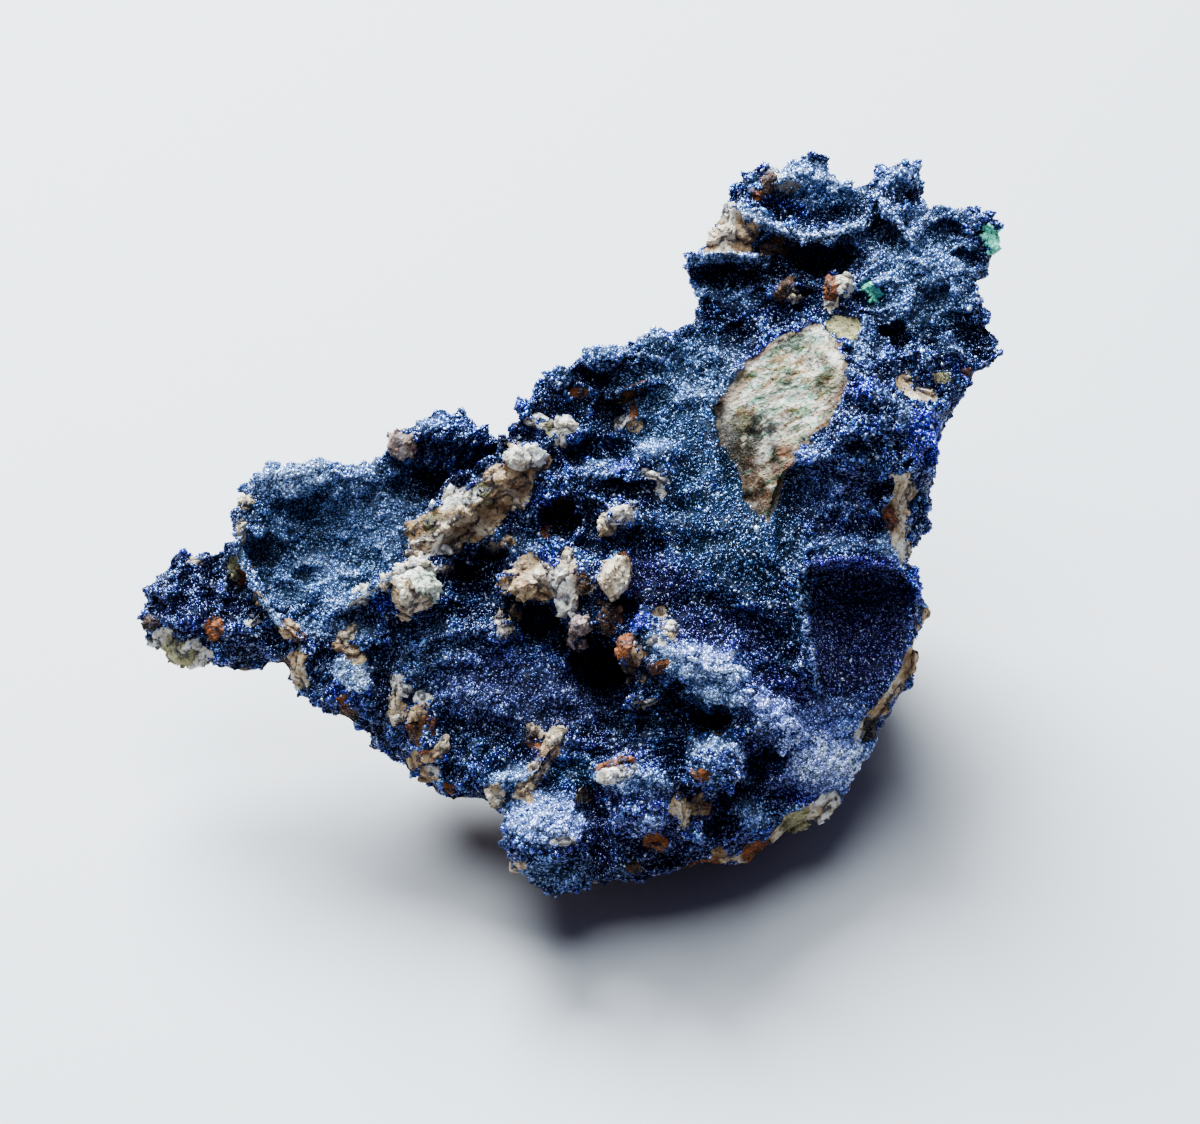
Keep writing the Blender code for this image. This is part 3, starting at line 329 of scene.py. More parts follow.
# Blocks that stand out of the stone: oval as above, how far they stand out, stain.
BLOCKS = [
    # left lobe and basin rim
    (193, 560, 10, 5, -5, 0.5, "cream"), (147, 576, 8, 5, 30, 0.4, "rust"),
    (150, 622, 9, 8, 0, 0.4, "brown"), (156, 641, 14, 6, 40, 0.9, "white"),
    (177, 655, 16, 13, 0, 1.3, "olive"), (196, 658, 15, 13, 0, 1.4, "white"),
    (214, 627, 9, 12, -10, 0.6, "rust"), (232, 568, 7, 11, 10, 0.5, "olive"),
    (215, 542, 9, 6, 0, 0.4, "tan"), (241, 576, 4, 12, -15, 0.4, "rust"),
    (260, 598, 11, 5, -45, 0.5, "cream"), (252, 618, 10, 5, -20, 0.6, "white"),
    (290, 626, 10, 7, -30, 0.5, "tan"), (296, 638, 10, 4, -30, 0.4, "rust"),
    (246, 505, 8, 5, 0, 0.4, "cream"), (362, 599, 17, 5, 35, 0.6, "white"),
    (385, 584, 10, 5, 60, 0.5, "cream"), (238, 530, 4, 12, 0, 0.4, "cream"),
    # front left edge
    (347, 634, 14, 6, 50, 0.8, "cream"), (352, 652, 17, 7, -20, 0.7, "tan"),
    (297, 662, 13, 13, 0, 1.3, "tan"), (300, 680, 10, 10, 0, 1.0, "cream"),
    (280, 668, 7, 10, 0, 0.6, "brown"), (303, 706, 8, 14, 40, 0.5, "tan"),
    (343, 707, 5, 9, 10, 0.6, "rust"), (346, 722, 10, 8, 0, 0.5, "brown"),
    (396, 686, 8, 15, 5, 1.3, "white"), (405, 690, 7, 8, 0, 1.0, "white"),
    (395, 712, 9, 14, 0, 1.2, "cream"), (424, 698, 9, 7, -20, 1.0, "white"),
    (421, 712, 11, 8, 0, 0.8, "tan"), (415, 726, 13, 8, 0, 0.9, "rust"), (433, 725, 5, 12, 5, 0.8, "rust"),
    (414, 738, 9, 8, 0, 0.7, "brown"), (443, 748, 6, 12, -20, 0.9, "cream"),
    (434, 756, 13, 6, 30, 0.7, "tan"), (412, 762, 8, 10, 20, 0.8, "tan"), (421, 758, 6, 6, 0, 0.6, "rust"),
    (425, 779, 8, 9, -20, 0.7, "tan"), (432, 774, 6, 4, 0, 0.6, "white"),
    (448, 790, 7, 5, -20, 0.5, "rust"), (560, 735, 7, 13, -30, 0.8, "cream"),
    (552, 753, 8, 12, -30, 0.8, "tan"), (538, 773, 8, 15, -45, 0.8, "cream"),
    (524, 790, 9, 9, -30, 0.7, "tan"), (533, 730, 8, 8, 0, 0.6, "cream"), (530, 742, 6, 5, 0, 0.5, "rust"),
    (493, 795, 10, 14, 0, 1.2, "cream"),
    # front lobes
    (612, 764, 20, 6, 10, 0.4, "rust"), (618, 778, 20, 7, 0, 0.4, "white"),
    (584, 795, 5, 9, 30, 0.5, "cream"), (562, 842, 14, 5, 10, 0.4, "white"),
    (515, 868, 8, 6, 0, 0.5, "cream"), (684, 812, 8, 18, 10, 0.7, "cream"),
    (700, 806, 8, 10, 0, 0.6, "tan"), (656, 845, 15, 8, 0, 0.6, "rust"), (722, 858, 9, 9, 0, 0.7, "tan"),
    (710, 869, 14, 5, 0, 0.5, "rust"), (636, 870, 10, 8, 0, 0.5, "brown"),
    (701, 779, 12, 5, -30, 0.4, "rust"), (632, 679, 9, 4, 0, 0.6, "cream"),
    (645, 704, 15, 6, 10, 0.8, "cream"), (690, 872, 12, 5, 0, 0.4, "brown"),
    # lower right and right rim
    (760, 856, 14, 7, 25, 1.0, "rust"), (782, 848, 10, 6, 20, 0.9, "cream"),
    (800, 843, 16, 7, 25, 1.1, "cream"), (800, 824, 14, 8, 35, 1.2, "olive"),
    (828, 808, 15, 7, 55, 1.4, "white"), (816, 832, 17, 8, 45, 1.4, "white"),
    (776, 858, 10, 5, 20, 0.8, "tan"), (748, 868, 10, 5, 20, 0.6, "cream"),
    (872, 733, 8, 13, -35, 1.2, "slate"), (838, 806, 7, 10, -20, 1.2, "white"),
    (824, 820, 14, 6, 45, 1.2, "cream"), (862, 735, 3, 9, -15, 0.8, "white"),
    (885, 708, 12, 5, 50, 1.0, "tan"), (896, 690, 13, 5, 55, 1.0, "cream"),
    (912, 667, 13, 6, 55, 1.1, "tan"), (927, 642, 14, 8, 65, 1.2, "tan"),
    (934, 620, 13, 6, 75, 1.2, "cream"), (938, 602, 10, 5, 80, 1.0, "white"),
    (906, 490, 11, 12, 0, 1.0, "cream"), (900, 514, 8, 12, -10, 0.9, "cream"),
    (891, 518, 5, 12, 0, 0.7, "rust"), (905, 535, 6, 12, -10, 0.9, "cream"),
    (908, 551, 6, 9, -20, 0.9, "white"),
    # upper right
    (924, 391, 19, 4, -12, 0.8, "cream"), (908, 378, 9, 7, 0, 0.6, "tan"),
    (944, 376, 8, 7, 0, 0.5, "olive"), (968, 372, 6, 5, 0, 0.5, "rust"),
    (833, 286, 11, 14, 0, 1.4, "rust"), (846, 285, 9, 12, 0, 1.4, "white"),
    (832, 303, 10, 6, 0, 0.8, "white"), (788, 285, 13, 9, 20, 0.9, "brown"),
    (786, 298, 8, 4, 0, 0.6, "cream"), (775, 249, 16, 8, -5, 0.9, "brown"),
    (746, 234, 14, 10, 0, 0.9, "tan"), (722, 238, 14, 10, 30, 1.0, "cream"),
    (708, 236, 7, 7, 0, 0.8, "tan"), (728, 211, 9, 8, 0, 1.0, "white"),
    (768, 182, 8, 11, -20, 0.8, "brown"), (757, 194, 8, 5, 0, 0.6, "rust"),
    (774, 172, 7, 8, 0, 0.7, "white"), (790, 189, 12, 5, 0, 0.5, "cream"),
    # back ridge
    (533, 423, 13, 6, -10, 1.0, "white"), (551, 426, 7, 8, 0, 0.8, "olive"),
    (566, 426, 11, 10, 10, 1.2, "white"), (561, 438, 8, 9, 0, 1.1, "white"),
    (515, 440, 5, 4, 0, 0.5, "cream"), (580, 393, 9, 5, 0, 0.6, "rust"),
    (643, 388, 13, 4, 20, 0.6, "rust"), (626, 399, 13, 6, 0, 0.4, "brown"),
    (632, 410, 6, 9, 0, 0.6, "rust"), (621, 421, 9, 8, 0, 0.9, "white"), (636, 425, 6, 6, 0, 0.7, "tan"),
    (659, 478, 13, 4, -20, 0.6, "white"), (660, 492, 7, 5, -15, 0.6, "white"),
    (402, 446, 13, 13, -20, 1.0, "rose"),
    # long patch
    (514, 460, 13, 11, 30, 1.4, "white"), (530, 451, 13, 9, 0, 1.4, "white"),
    (543, 460, 8, 8, 40, 1.1, "tan"), (500, 477, 15, 12, 30, 1.3, "tan"),
    (518, 482, 12, 12, 0, 1.2, "tan"), (484, 490, 13, 12, 30, 1.3, "olive"),
    (500, 502, 15, 12, 0, 1.2, "tan"), (518, 500, 9, 9, 0, 1.0, "cream"),
    (448, 495, 8, 11, -15, 1.7, "white"), (470, 499, 9, 11, -20, 1.6, "white"),
    (460, 512, 12, 8, 20, 1.4, "cream"), (475, 516, 12, 9, 30, 1.3, "tan"),
    (446, 527, 14, 8, 20, 1.3, "cream"), (467, 532, 12, 7, 30, 1.1, "tan"),
    (428, 524, 10, 7, 0, 1.2, "olive"), (414, 528, 9, 9, 0, 1.1, "tan"),
    (420, 541, 14, 6, 10, 1.0, "cream"), (444, 547, 11, 7, -20, 0.9, "white"),
    (488, 530, 9, 7, 0, 0.9, "cream"), (492, 550, 6, 5, 0, 0.7, "cream"), (508, 540, 6, 6, 0, 0.7, "tan"),
    (418, 553, 12, 5, 0, 0.8, "cream"), (455, 545, 10, 6, 0, 0.8, "cream"),
    # cube, bow tie and their neighbours
    (403, 573, 13, 12, 10, 1.8, "white"), (424, 566, 13, 11, 0, 1.7, "white"),
    (404, 596, 13, 14, 0, 1.6, "cream"), (427, 588, 14, 14, 0, 1.7, "mint"),
    (420, 606, 13, 9, 20, 1.4, "cream"), (405, 615, 9, 7, -30, 1.0, "cream"),
    (449, 569, 8, 7, 0, 0.8, "rose"), (506, 584, 13, 10, 40, 1.5, "tan"),
    (524, 566, 11, 11, -20, 1.4, "cream"), (524, 588, 12, 9, 0, 1.4, "tan"),
    (541, 576, 11, 11, 0, 1.5, "cream"), (543, 594, 12, 8, 0, 1.4, "tan"),
    (560, 582, 10, 14, 0, 1.6, "white"), (569, 560, 8, 13, 5, 1.5, "cream"),
    (566, 604, 10, 13, 0, 1.5, "white"), (582, 580, 6, 11, 20, 0.8, "brown"),
    (611, 577, 13, 20, -25, 1.4, "cream"), (626, 572, 4, 18, -15, 1.3, "rust"),
    (611, 602, 9, 5, 0, 0.7, "brown"), (608, 622, 10, 14, 0, 1.0, "brown"),
    (575, 626, 9, 10, 0, 1.0, "rose"), (580, 642, 9, 8, 0, 0.9, "rose"),
    (624, 516, 13, 9, 15, 1.4, "white"), (608, 528, 9, 10, 0, 1.2, "cream"),
    (632, 507, 9, 5, 0, 0.8, "white"), (498, 616, 9, 7, 20, 1.1, "cream"),
    (504, 632, 10, 10, 0, 1.1, "white"), (516, 614, 6, 6, 0, 0.8, "tan"),
    (627, 646, 10, 13, -15, 0.9, "rust"), (632, 667, 8, 9, 0, 0.7, "brown"),
    (640, 655, 5, 10, 0, 1.1, "tan"), (657, 667, 10, 8, 0, 0.7, "rust"), (668, 628, 9, 8, 0, 0.9, "white"),
    (675, 633, 5, 5, 0, 0.9, "tan"), (661, 612, 6, 6, 0, 0.7, "cream"), (655, 641, 10, 5, 0, 0.8, "white"),
    (547, 529, 7, 4, 25, 0.4, "rust"), (562, 512, 9, 8, 0, 0.2, "brown"),
]

# Tints of the coat, among them painted highlights and painted shade: oval as above and strength.
PAINTED_HIGHLIGHTS = [
    # top
    (815, 182, 52, 24, -10, 1.3), (758, 220, 28, 8, -30, 1.0), (722, 257, 36, 7, 0, 0.9),
    (900, 178, 30, 15, 10, 0.7), (905, 258, 20, 12, 0, 0.9), (888, 278, 16, 8, 0, 0.8),
    (895, 312, 22, 16, 0, 0.55), (860, 340, 14, 26, -10, 0.3), (702, 293, 22, 8, 0, 0.7),
    (740, 300, 22, 10, 0, 0.7), (920, 270, 62, 56, 0, 0.55), (940, 215, 32, 16, 0, 0.7),
    (670, 330, 40, 16, 0, 0.5), (700, 370, 60, 40, 0, 0.5), (650, 400, 60, 40, 0, 0.3),
    (875, 240, 50, 40, 0, 0.3), (950, 345, 20, 10, -40, 0.5), (870, 350, 24, 30, 0, 0.15),
    # back ridge and bulge
    (650, 336, 15, 9, 0, 1.1), (605, 350, 26, 12, 10, 0.5), (690, 392, 22, 14, 0, 0.6),
    (648, 448, 20, 12, 0, 0.7), (600, 470, 25, 12, 10, 0.5), (560, 372, 16, 16, 0, 0.4),
    (510, 545, 30, 10, 0, 0.4), (810, 455, 20, 8, 0, 0.35), (905, 415, 8, 14, 0, 0.5),
    (885, 395, 16, 10, 0, 0.2), (825, 545, 50, 12, 0, 0.4), (832, 492, 44, 26, 0, 0.28),
    (855, 600, 44, 26, 0, 0.16), (895, 548, 22, 14, -30, 0.9),
    # basin
    (300, 560, 80, 56, 0, 0.5), (292, 478, 46, 24, 8, 1.3), (285, 522, 18, 13, 0, 0.8),
    (325, 570, 38, 16, -15, 1.3), (292, 596, 26, 8, 20, 0.7), (335, 604, 24, 8, 0, 0.8),
    (370, 510, 60, 56, 0, 0.85), (330, 545, 16, 8, 0, 0.7),
    # front left and plateau
    (162, 570, 22, 9, 20, 0.5), (352, 674, 22, 16, -45, 1.6), (330, 628, 52, 10, -5, 0.7),
    (430, 422, 22, 10, 0, 0.6), (460, 662, 70, 30, 0, 0.3), (530, 695, 90, 34, 0, 0.25),
    (455, 690, 34, 16, 0, 0.35), (430, 630, 30, 10, 0, 0.5),
    # front lobes
    (700, 664, 54, 20, -12, 1.5), (722, 697, 38, 18, -10, 1.2), (660, 640, 14, 10, 0, 0.9),
    (545, 818, 44, 30, 0, 1.05), (518, 776, 34, 12, 15, 1.1), (632, 782, 44, 14, -8, 1.1),
    (716, 745, 28, 7, 0, 0.8), (743, 768, 6, 18, 10, 0.9), (714, 770, 24, 16, 0, 0.2),
    (826, 758, 50, 38, 0, 1.9), (800, 740, 44, 22, -20, 1.3), (748, 812, 24, 12, -20, 0.8),
    (650, 822, 15, 9, 0, 0.8), (560, 872, 40, 14, 0, 0.4), (780, 715, 40, 18, -25, 1.1),
    (835, 720, 36, 24, 0, 0.8),
]
# Painted highlights along narrow pale ledges: points in the view, half width, strength.
PAINTED_HIGHLIGHT_LINES = [
    ([(738, 208), (765, 224), (785, 232), (805, 237), (826, 237), (846, 231), (862, 226)], 8, 1.5),
    ([(686, 264), (700, 259), (720, 256), (745, 257), (765, 262)], 6, 1.2),
    ([(876, 196), (886, 209), (897, 223), (911, 242)], 6, 0.9),
    ([(242, 505), (239, 522), (240, 545), (246, 570), (258, 592), (272, 612), (288, 628)], 4, 0.9),
    ([(345, 607), (360, 599), (378, 589), (391, 580)], 5, 0.7),
    ([(803, 580), (803, 610), (808, 640), (812, 665), (818, 690)], 5, 0.7),
    ([(690, 755), (702, 745), (720, 741), (737, 749), (746, 764), (747, 782)], 5, 1.2),
    ([(850, 370), (862, 352), (868, 335)], 4, 0.8),
]
SHADE = [  # painted shade: where the coat is darkest
    (730, 618, 72, 36, -20, 0.4), (830, 505, 52, 38, 0, 0.2), (905, 455, 26, 26, 0, 0.4),
    (790, 490, 16, 36, 0, 0.7), (590, 660, 32, 52, 0, 0.8), (560, 722, 48, 26, 0, 0.65),
    (500, 615, 36, 22, 0, 0.6), (470, 577, 38, 22, 0, 0.75), (562, 520, 26, 18, 0, 0.8),
    (622, 735, 42, 20, 0, 0.7), (660, 600, 30, 20, 0, 0.5), (765, 775, 14, 30, 0, 0.7),
    (185, 600, 52, 46, 0, 0.45), (240, 640, 26, 20, 0, 0.6), (262, 555, 17, 17, 0, 0.85),
    (430, 445, 62, 16, 0, 0.55), (410, 500, 40, 22, 0, 0.4), (760, 270, 72, 15, 0, 0.85),
    (975, 335, 26, 32, 0, 0.6), (896, 335, 17, 14, 0, 0.8), (889, 232, 18, 9, -35, 0.5),
    (600, 382, 30, 10, -18, 0.7), (610, 412, 14, 22, 15, 0.7), (625, 489, 48, 10, -4, 0.7),
    (513, 437, 24, 10, 15, 0.6), (530, 690, 92, 32, 0, 0.3), (640, 862, 95, 28, 0, 0.6),
    (550, 884, 52, 20, 0, 0.55), (712, 722, 42, 8, 0, 0.7), (842, 214, 24, 6, 0, 0.4),
    (750, 470, 14, 40, 14, 0.6), (500, 730, 60, 30, 0, 0.3), (690, 560, 90, 60, 0, 0.15),
    (303, 577, 10, 9, 0, 0.7), (742, 338, 22, 14, 0, 0.5),
]
CALM = [  # where the druse lies even
    (715, 500, 85, 115, 0, 1.0), (700, 600, 80, 40, -20, 0.8), (860, 640, 60, 75, 0, 1.0),
    (560, 690, 60, 40, 0, 0.7),
]
BROKEN_FACE = [(785, 410, 60, 90, 0, 1.0), (760, 470, 36, 60, 0, 1.0)]
GREY_VIOLET = [
    (858, 632, 54, 66, 0, 0.9), (640, 590, 46, 26, 0, 0.5), (530, 700, 90, 40, 0, 0.4),
    (190, 600, 50, 50, 0, 0.4),
]
VIOLET = [
    (860, 630, 58, 66, 0, 1.0), (645, 580, 50, 30, 0, 0.9), (560, 745, 34, 22, 0, 0.8),
    (860, 562, 56, 9, 0, 0.9), (530, 690, 100, 50, 0, 0.8), (800, 760, 70, 50, 0, 0.8),
    (640, 830, 120, 50, 0, 0.5), (790, 710, 60, 40, -30, 0.8), (720, 640, 60, 34, -15, 0.7),
    (540, 700, 60, 26, 0, 0.6), (840, 700, 50, 20, 0, 0.6), (185, 600, 50, 20, 0, 0.3),
    (826, 768, 44, 28, 0, 0.4), (545, 822, 46, 34, 0, 0.3), (830, 500, 60, 40, 0, 0.5),
    (620, 740, 40, 24, 0, 0.5),
]
BRIGHT_BLUE = [
    (925, 440, 20, 36, 0, 1.0), (845, 740, 32, 28, 0, 0.9), (860, 775, 12, 14, 0, 1.0),
    (857, 392, 20, 15, 0, 0.6), (918, 585, 14, 20, 0, 0.8), (800, 455, 22, 13, 0, 0.6),
    (622, 466, 14, 10, 0, 0.9), (382, 602, 14, 10, 0, 1.0), (640, 620, 15, 12, 0, 0.9),
    (722, 872, 22, 8, 0, 0.9), (350, 692, 28, 20, 0, 0.6), (198, 625, 22, 9, 0, 0.7),
    (185, 552, 22, 5, 0, 0.9), (957, 366, 20, 8, -40, 0.8), (545, 560, 16, 7, 0, 0.7),
    (790, 205, 20, 5, 0, 0.8), (545, 500, 24, 10, 0, 0.6), (855, 562, 52, 6, 0, 0.8),
    (810, 800, 22, 8, 0, 0.9), (840, 345, 6, 26, -20, 0.9), (760, 350, 40, 5, 35, 0.8),
    (520, 428, 20, 6, 40, 0.8), (640, 388, 24, 5, 15, 0.8), (500, 650, 20, 8, -30, 0.7),
]
TEAL = [
    (740, 500, 75, 100, 0, 0.9), (320, 540, 90, 80, 0, 0.9), (800, 605, 10, 42, 0, 0.8),
    (680, 400, 60, 70, 0, 0.9), (540, 650, 32, 16, 0, 0.5), (930, 290, 55, 55, 0, 0.5),
    (572, 765, 26, 22, 0, 0.8), (690, 310, 55, 25, 0, 0.5), (600, 350, 30, 16, 0, 0.4),
    (550, 875, 36, 20, 0, 0.6), (640, 730, 34, 20, 0, 0.5), (500, 720, 60, 30, 0, 0.3),
]
MALACHITE = [
    (993, 240, 18, 8, -62, 1.0), (990, 282, 7, 8, 0, 0.9), (877, 294, 6, 6, 0, 1.0), (868, 286, 6, 4, 0, 0.6),
]


def screen(red, green, blue):
    """A colour given as it looks on a screen, 0 to 255, as the materials need it."""
    return tuple((part / 255.0 / 12.92) if part < 10.3 else ((part / 255.0 + 0.055) / 1.055) ** 2.4
                 for part in (red, green, blue))


# Tones of the crystals, with their painted glints and highlights, of the green crust, and of the painted
# shade at the feet of the blocks.
BLACK_TONE = np.array(screen(10, 4, 50))
NAVY_TONE = np.array(screen(44, 36, 160))
GLINT_STEEL_TONE = np.array(screen(132, 182, 240))
ULTRAMARINE_TONE = np.array(screen(58, 46, 210))
SMOKY_TONE = np.array(screen(92, 84, 120))
VIOLET_TONE = np.array(screen(104, 76, 176))
TEAL_TONE = np.array(screen(112, 178, 206))
HIGHLIGHT_TONE = np.array(screen(184, 212, 255))
LAVENDER_HIGHLIGHT_TONE = np.array(screen(176, 186, 255))
GLINT_WHITE_TONE = np.array(screen(236, 246, 255))
DEEP_GREEN = np.array(screen(52, 168, 128))
PALE_GREEN = np.array(screen(150, 240, 206))
CONTACT_SHADE_BLUE = np.array(screen(30, 30, 60))

STREAK = (0.80, 0.45, 0.40)  # the grain of the broken face
FACE_TURN = (0.0, 0.0, math.radians(-35.0))  # which way they are long
FACE_STRETCH = (1.0, 3.2, 1.0)  # its blotches are long one way
FACE_STAINS = [  # size of its blotches, its span from none to full, what it multiplies the rock by
    (2.2, 0.48, 0.62, (0.60, 0.43, 0.27)),  # streaks
    (3.4, 0.47, 0.38, (0.24, 0.31, 0.27)),  # clots
    (1.5, 0.47, 0.40, (0.42, 0.76, 0.64)),  # flecks
    (0.6, 0.44, 0.36, (0.50, 0.42, 0.34)),  # crumbs
]
# Further stains on the bare rock: oval as above, stain, strength.
ROCK_TINTS = [
    (752, 427, 32, 17, 0, "slate", 0.9), (738, 448, 22, 28, 0, "slate", 0.9),
    (750, 478, 18, 28, 0, "brown", 0.9), (776, 462, 14, 28, 0, "rust", 0.8),
    (764, 502, 18, 24, 0, "brown", 0.9), (735, 420, 14, 12, 0, "olive", 0.6),
    (832, 392, 16, 6, 45, "rust", 0.6), (800, 345, 20, 6, 15, "tealish", 0.5),
    (815, 335, 10, 5, 0, "tealish", 0.8), (775, 375, 8, 12, 30, "tealish", 0.5),
    (800, 385, 14, 6, 40, "tealish", 0.5), (760, 400, 12, 6, 0, "tealish", 0.5),
    (735, 390, 6, 16, -30, "rust", 0.5), (760, 352, 20, 4, 35, "rust", 0.5),
    (820, 360, 14, 8, 30, "white", 0.6), (790, 410, 20, 7, 30, "white", 0.6),
    (745, 405, 12, 8, 20, "white", 0.5), (432, 595, 10, 12, 0, "mint", 0.8),
    (425, 525, 10, 8, 0, "olive", 0.8), (500, 480, 24, 10, 30, "brown", 0.3),
    (485, 470, 16, 6, 40, "olive", 0.6), (758, 858, 18, 8, 20, "rust", 0.7),
    (800, 822, 14, 6, 35, "slate", 0.6), (520, 590, 8, 16, 0, "brown", 0.5),
    (476, 532, 16, 5, 30, "brown", 0.6),
]
ROCK_DIM = 0.88  # what all host-rock colours are multiplied by
STAINS = {
    "tealish": (screen(130, 180, 158), screen(58, 104, 92)),
    "white": (screen(244, 242, 234), screen(198, 186, 166)),
    "cream": (screen(234, 220, 196), screen(168, 142, 110)),
    "tan": (screen(212, 186, 148), screen(136, 104, 70)),
    "rust": (screen(162, 96, 50), screen(62, 36, 22)),
    "brown": (screen(98, 64, 40), screen(36, 24, 16)),
    "olive": (screen(190, 182, 142), screen(96, 94, 62)),
    "mint": (screen(220, 220, 200), screen(172, 194, 174)),
    "rose": (screen(206, 190, 180), screen(146, 118, 108)),
    "slate": (screen(38, 41, 36), screen(12, 14, 12)),
    "mottled": (screen(244, 240, 228), screen(206, 192, 166)),
    "side": (screen(164, 146, 118), screen(106, 84, 60)),
}


# ---------------------------------------------------------------- shader helpers
class Term:
    """A value or colour inside a material. Arithmetic on it adds Math nodes."""

    def __init__(self, shader, socket):
        self.shader = shader
        self.socket = socket

    def math(self, operation, *others):
        sockets = {0: self, **dict(enumerate(others, 1))}
        return self.shader.node("ShaderNodeMath", {"operation": operation}, sockets)

    def __add__(self, other):
        return self.math("ADD", other)

    def __radd__(self, other):
        return self.math("ADD", other)

    def __sub__(self, other):
        return self.math("SUBTRACT", other)

    def __rsub__(self, other):
        return self.math("MULTIPLY_ADD", -1.0, other)

    def __mul__(self, other):
        return self.math("MULTIPLY", other)

    def span(self, low, high):
        """0 at low, 1 at high, straight between and flat beyond."""
        sockets = {"Value": self, "From Min": low, "From Max": high}
        return self.shader.node("ShaderNodeMapRange", {"clamp": True}, sockets)


class Shader:
    """A material made of nodes around one Principled BSDF."""

    def __init__(self, name):
        self.material = bpy.data.materials.new(name)
        self.material.use_nodes = True
        self.tree = self.material.node_tree
        self.principled = self.tree.nodes["Principled BSDF"]

    def feed(self, socket, value):
        if isinstance(value, Term):
            self.tree.links.new(value.socket, socket)
        else:
            socket.default_value = value

    def node(self, kind, settings=None, sockets=None, output=0):
        made = self.tree.nodes.new(kind)
        for name, value in (settings or {}).items():
            setattr(made, name, value)
        for name, value in (sockets or {}).items():
            self.feed(made.inputs[name], value)
        return Term(self, made.outputs[output])

    def attribute(self, name, output=2):
        """A float attribute of the mesh, or with output 0 a colour one."""
        return self.node("ShaderNodeAttribute", {"attribute_name": name}, output=output)

    def mix(self, factor, first, second, blend="MIX"):
        settings = {"data_type": "RGBA", "blend_type": blend}
        return self.node("ShaderNodeMix", settings, {0: factor, 6: first, 7: second}, output=2)

    def place(self):
        """Where on the object the shading is done, in its own coordinates."""
        return self.node("ShaderNodeTexCoord", output=3)

    def noise(self, size, detail=3.0, roughness=0.55):
        """Cloudy noise whose blotches are about the given size in millimetres."""
        sockets = {"Vector": self.place(), "Scale": 1.0 / (size * MM)}
        sockets.update({"Detail": detail, "Roughness": roughness})
        return self.node("ShaderNodeTexNoise", {}, sockets)

    def cells(self, size):
        """How far it is to the middle of the nearest rounded cell of the given size in millimetres."""
        sockets = {"Vector": self.place(), "Scale": 1.0 / (size * MM)}
        return self.node("ShaderNodeTexVoronoi", {}, sockets)

    def finish(self, **values):
        for name, value in values.items():
            self.feed(self.principled.inputs[name.replace("_", " ")], value)
        return self.material

    def bump(self, height, strength, depth):
        sockets = {"Height": height, "Strength": strength, "Distance": depth * MM}
        return self.node("ShaderNodeBump", {}, sockets)


# ---------------------------------------------------------------- places
def ray(u, v):
    """The sight line through a point of the view."""
    across = (u - VIEW_WIDTH / 2) * PIXEL
    up = (VIEW_HEIGHT / 2 - v) * PIXEL
    return (FORWARD + Vector((1.0, 0.0, 0.0)) * across + UPWARD * up).normalized()


def view_place(points):
    """Where points of the stone show in the view."""
    from_eye = points - np.array(EYE)
    depth = from_eye @ np.array(FORWARD)
    u = VIEW_WIDTH / 2 + from_eye[:, 0] / depth / PIXEL
    v = VIEW_HEIGHT / 2 - from_eye @ np.array(UPWARD) / depth / PIXEL
    return np.stack([u, v], axis=1)


def oval_distance(spots, u, v, half_u, half_v, turn):
    """0 in the middle of an oval of the view and 1 on its edge."""
    cosine, sine = math.cos(math.radians(turn)), math.sin(math.radians(turn))
    across, down = spots[:, 0] - u, spots[:, 1] - v
    return np.hypot((across * cosine - down * sine) / half_u, (across * sine + down * cosine) / half_v)


def line_distance(spots, points, closed=False):
    """How far each spot is from a broken line, in pixels."""
    line = np.array(points, float)
    ends = np.roll(line, -1, axis=0) if closed else line[1:]
    away = np.full(len(spots), 1e9)
    for start, end in zip(line, ends):
        along = end - start
        share = np.clip((spots - start) @ along / (along @ along), 0.0, 1.0)
        away = np.minimum(away, np.linalg.norm(spots - start - share[:, None] * along, axis=1))
    return away


def outline_depth(spots, outline):
    """How far each spot lies inside a closed outline, in pixels; below 0 outside."""
    ring = np.array(outline, float)
    within = np.zeros(len(spots), bool)
    for start, end in zip(ring, np.roll(ring, -1, axis=0)):
        crosses = (spots[:, 1] < start[1]) != (spots[:, 1] < end[1])
        rise = (end[1] - start[1]) or 1.0
        within ^= crosses & (spots[:, 0] < start[0] + (spots[:, 1] - start[1]) * (end[0] - start[0]) / rise)
    away = line_distance(spots, outline, closed=True)
    return np.where(within, away, -away)


def smooth_step(low, high, values):
    share = np.clip((values - low) / (high - low), 0.0, 1.0)
    return share * share * (3 - 2 * share)


def near_hit(points, tree, oval, grow, extra):
    """Which points lie near the place that an oval's middle shows: its longer half, grown, and some more."""
    u, v, half_u, half_v = oval[:4]
    reach = max(half_u, half_v) * PIXEL_SIZE * grow + extra
    hit = tree.ray_cast(EYE, ray(u, v))[0]
    if hit is None:
        return np.zeros(len(points), bool)
    return np.linalg.norm(points - np.array(hit), axis=1) < reach


def zone(points, ovals, tree, soft=(0.6, 1.2)):
    """Strength at each point of the ovals placed in the view."""
    spots = view_place(points)
    total = np.zeros(len(points))
    for oval in ovals:
        inside = 1.0 - smooth_step(*soft, oval_distance(spots, *oval[:5]))
        total = np.maximum(total, oval[5] * inside * near_hit(points, tree, oval, 1.8, 1.5))
    return total


# ---------------------------------------------------------------- meshes
def read_points(mesh):
    points = np.empty(len(mesh.vertices) * 3)
    mesh.vertices.foreach_get("co", points)
    return points.reshape(-1, 3)


def write_points(mesh, points):
    mesh.vertices.foreach_set("co", points.ravel())
    mesh.update()


def read_normals(mesh):
    normals = np.empty(len(mesh.vertices) * 3)
    mesh.vertex_normals.foreach_get("vector", normals)
    return normals.reshape(-1, 3)


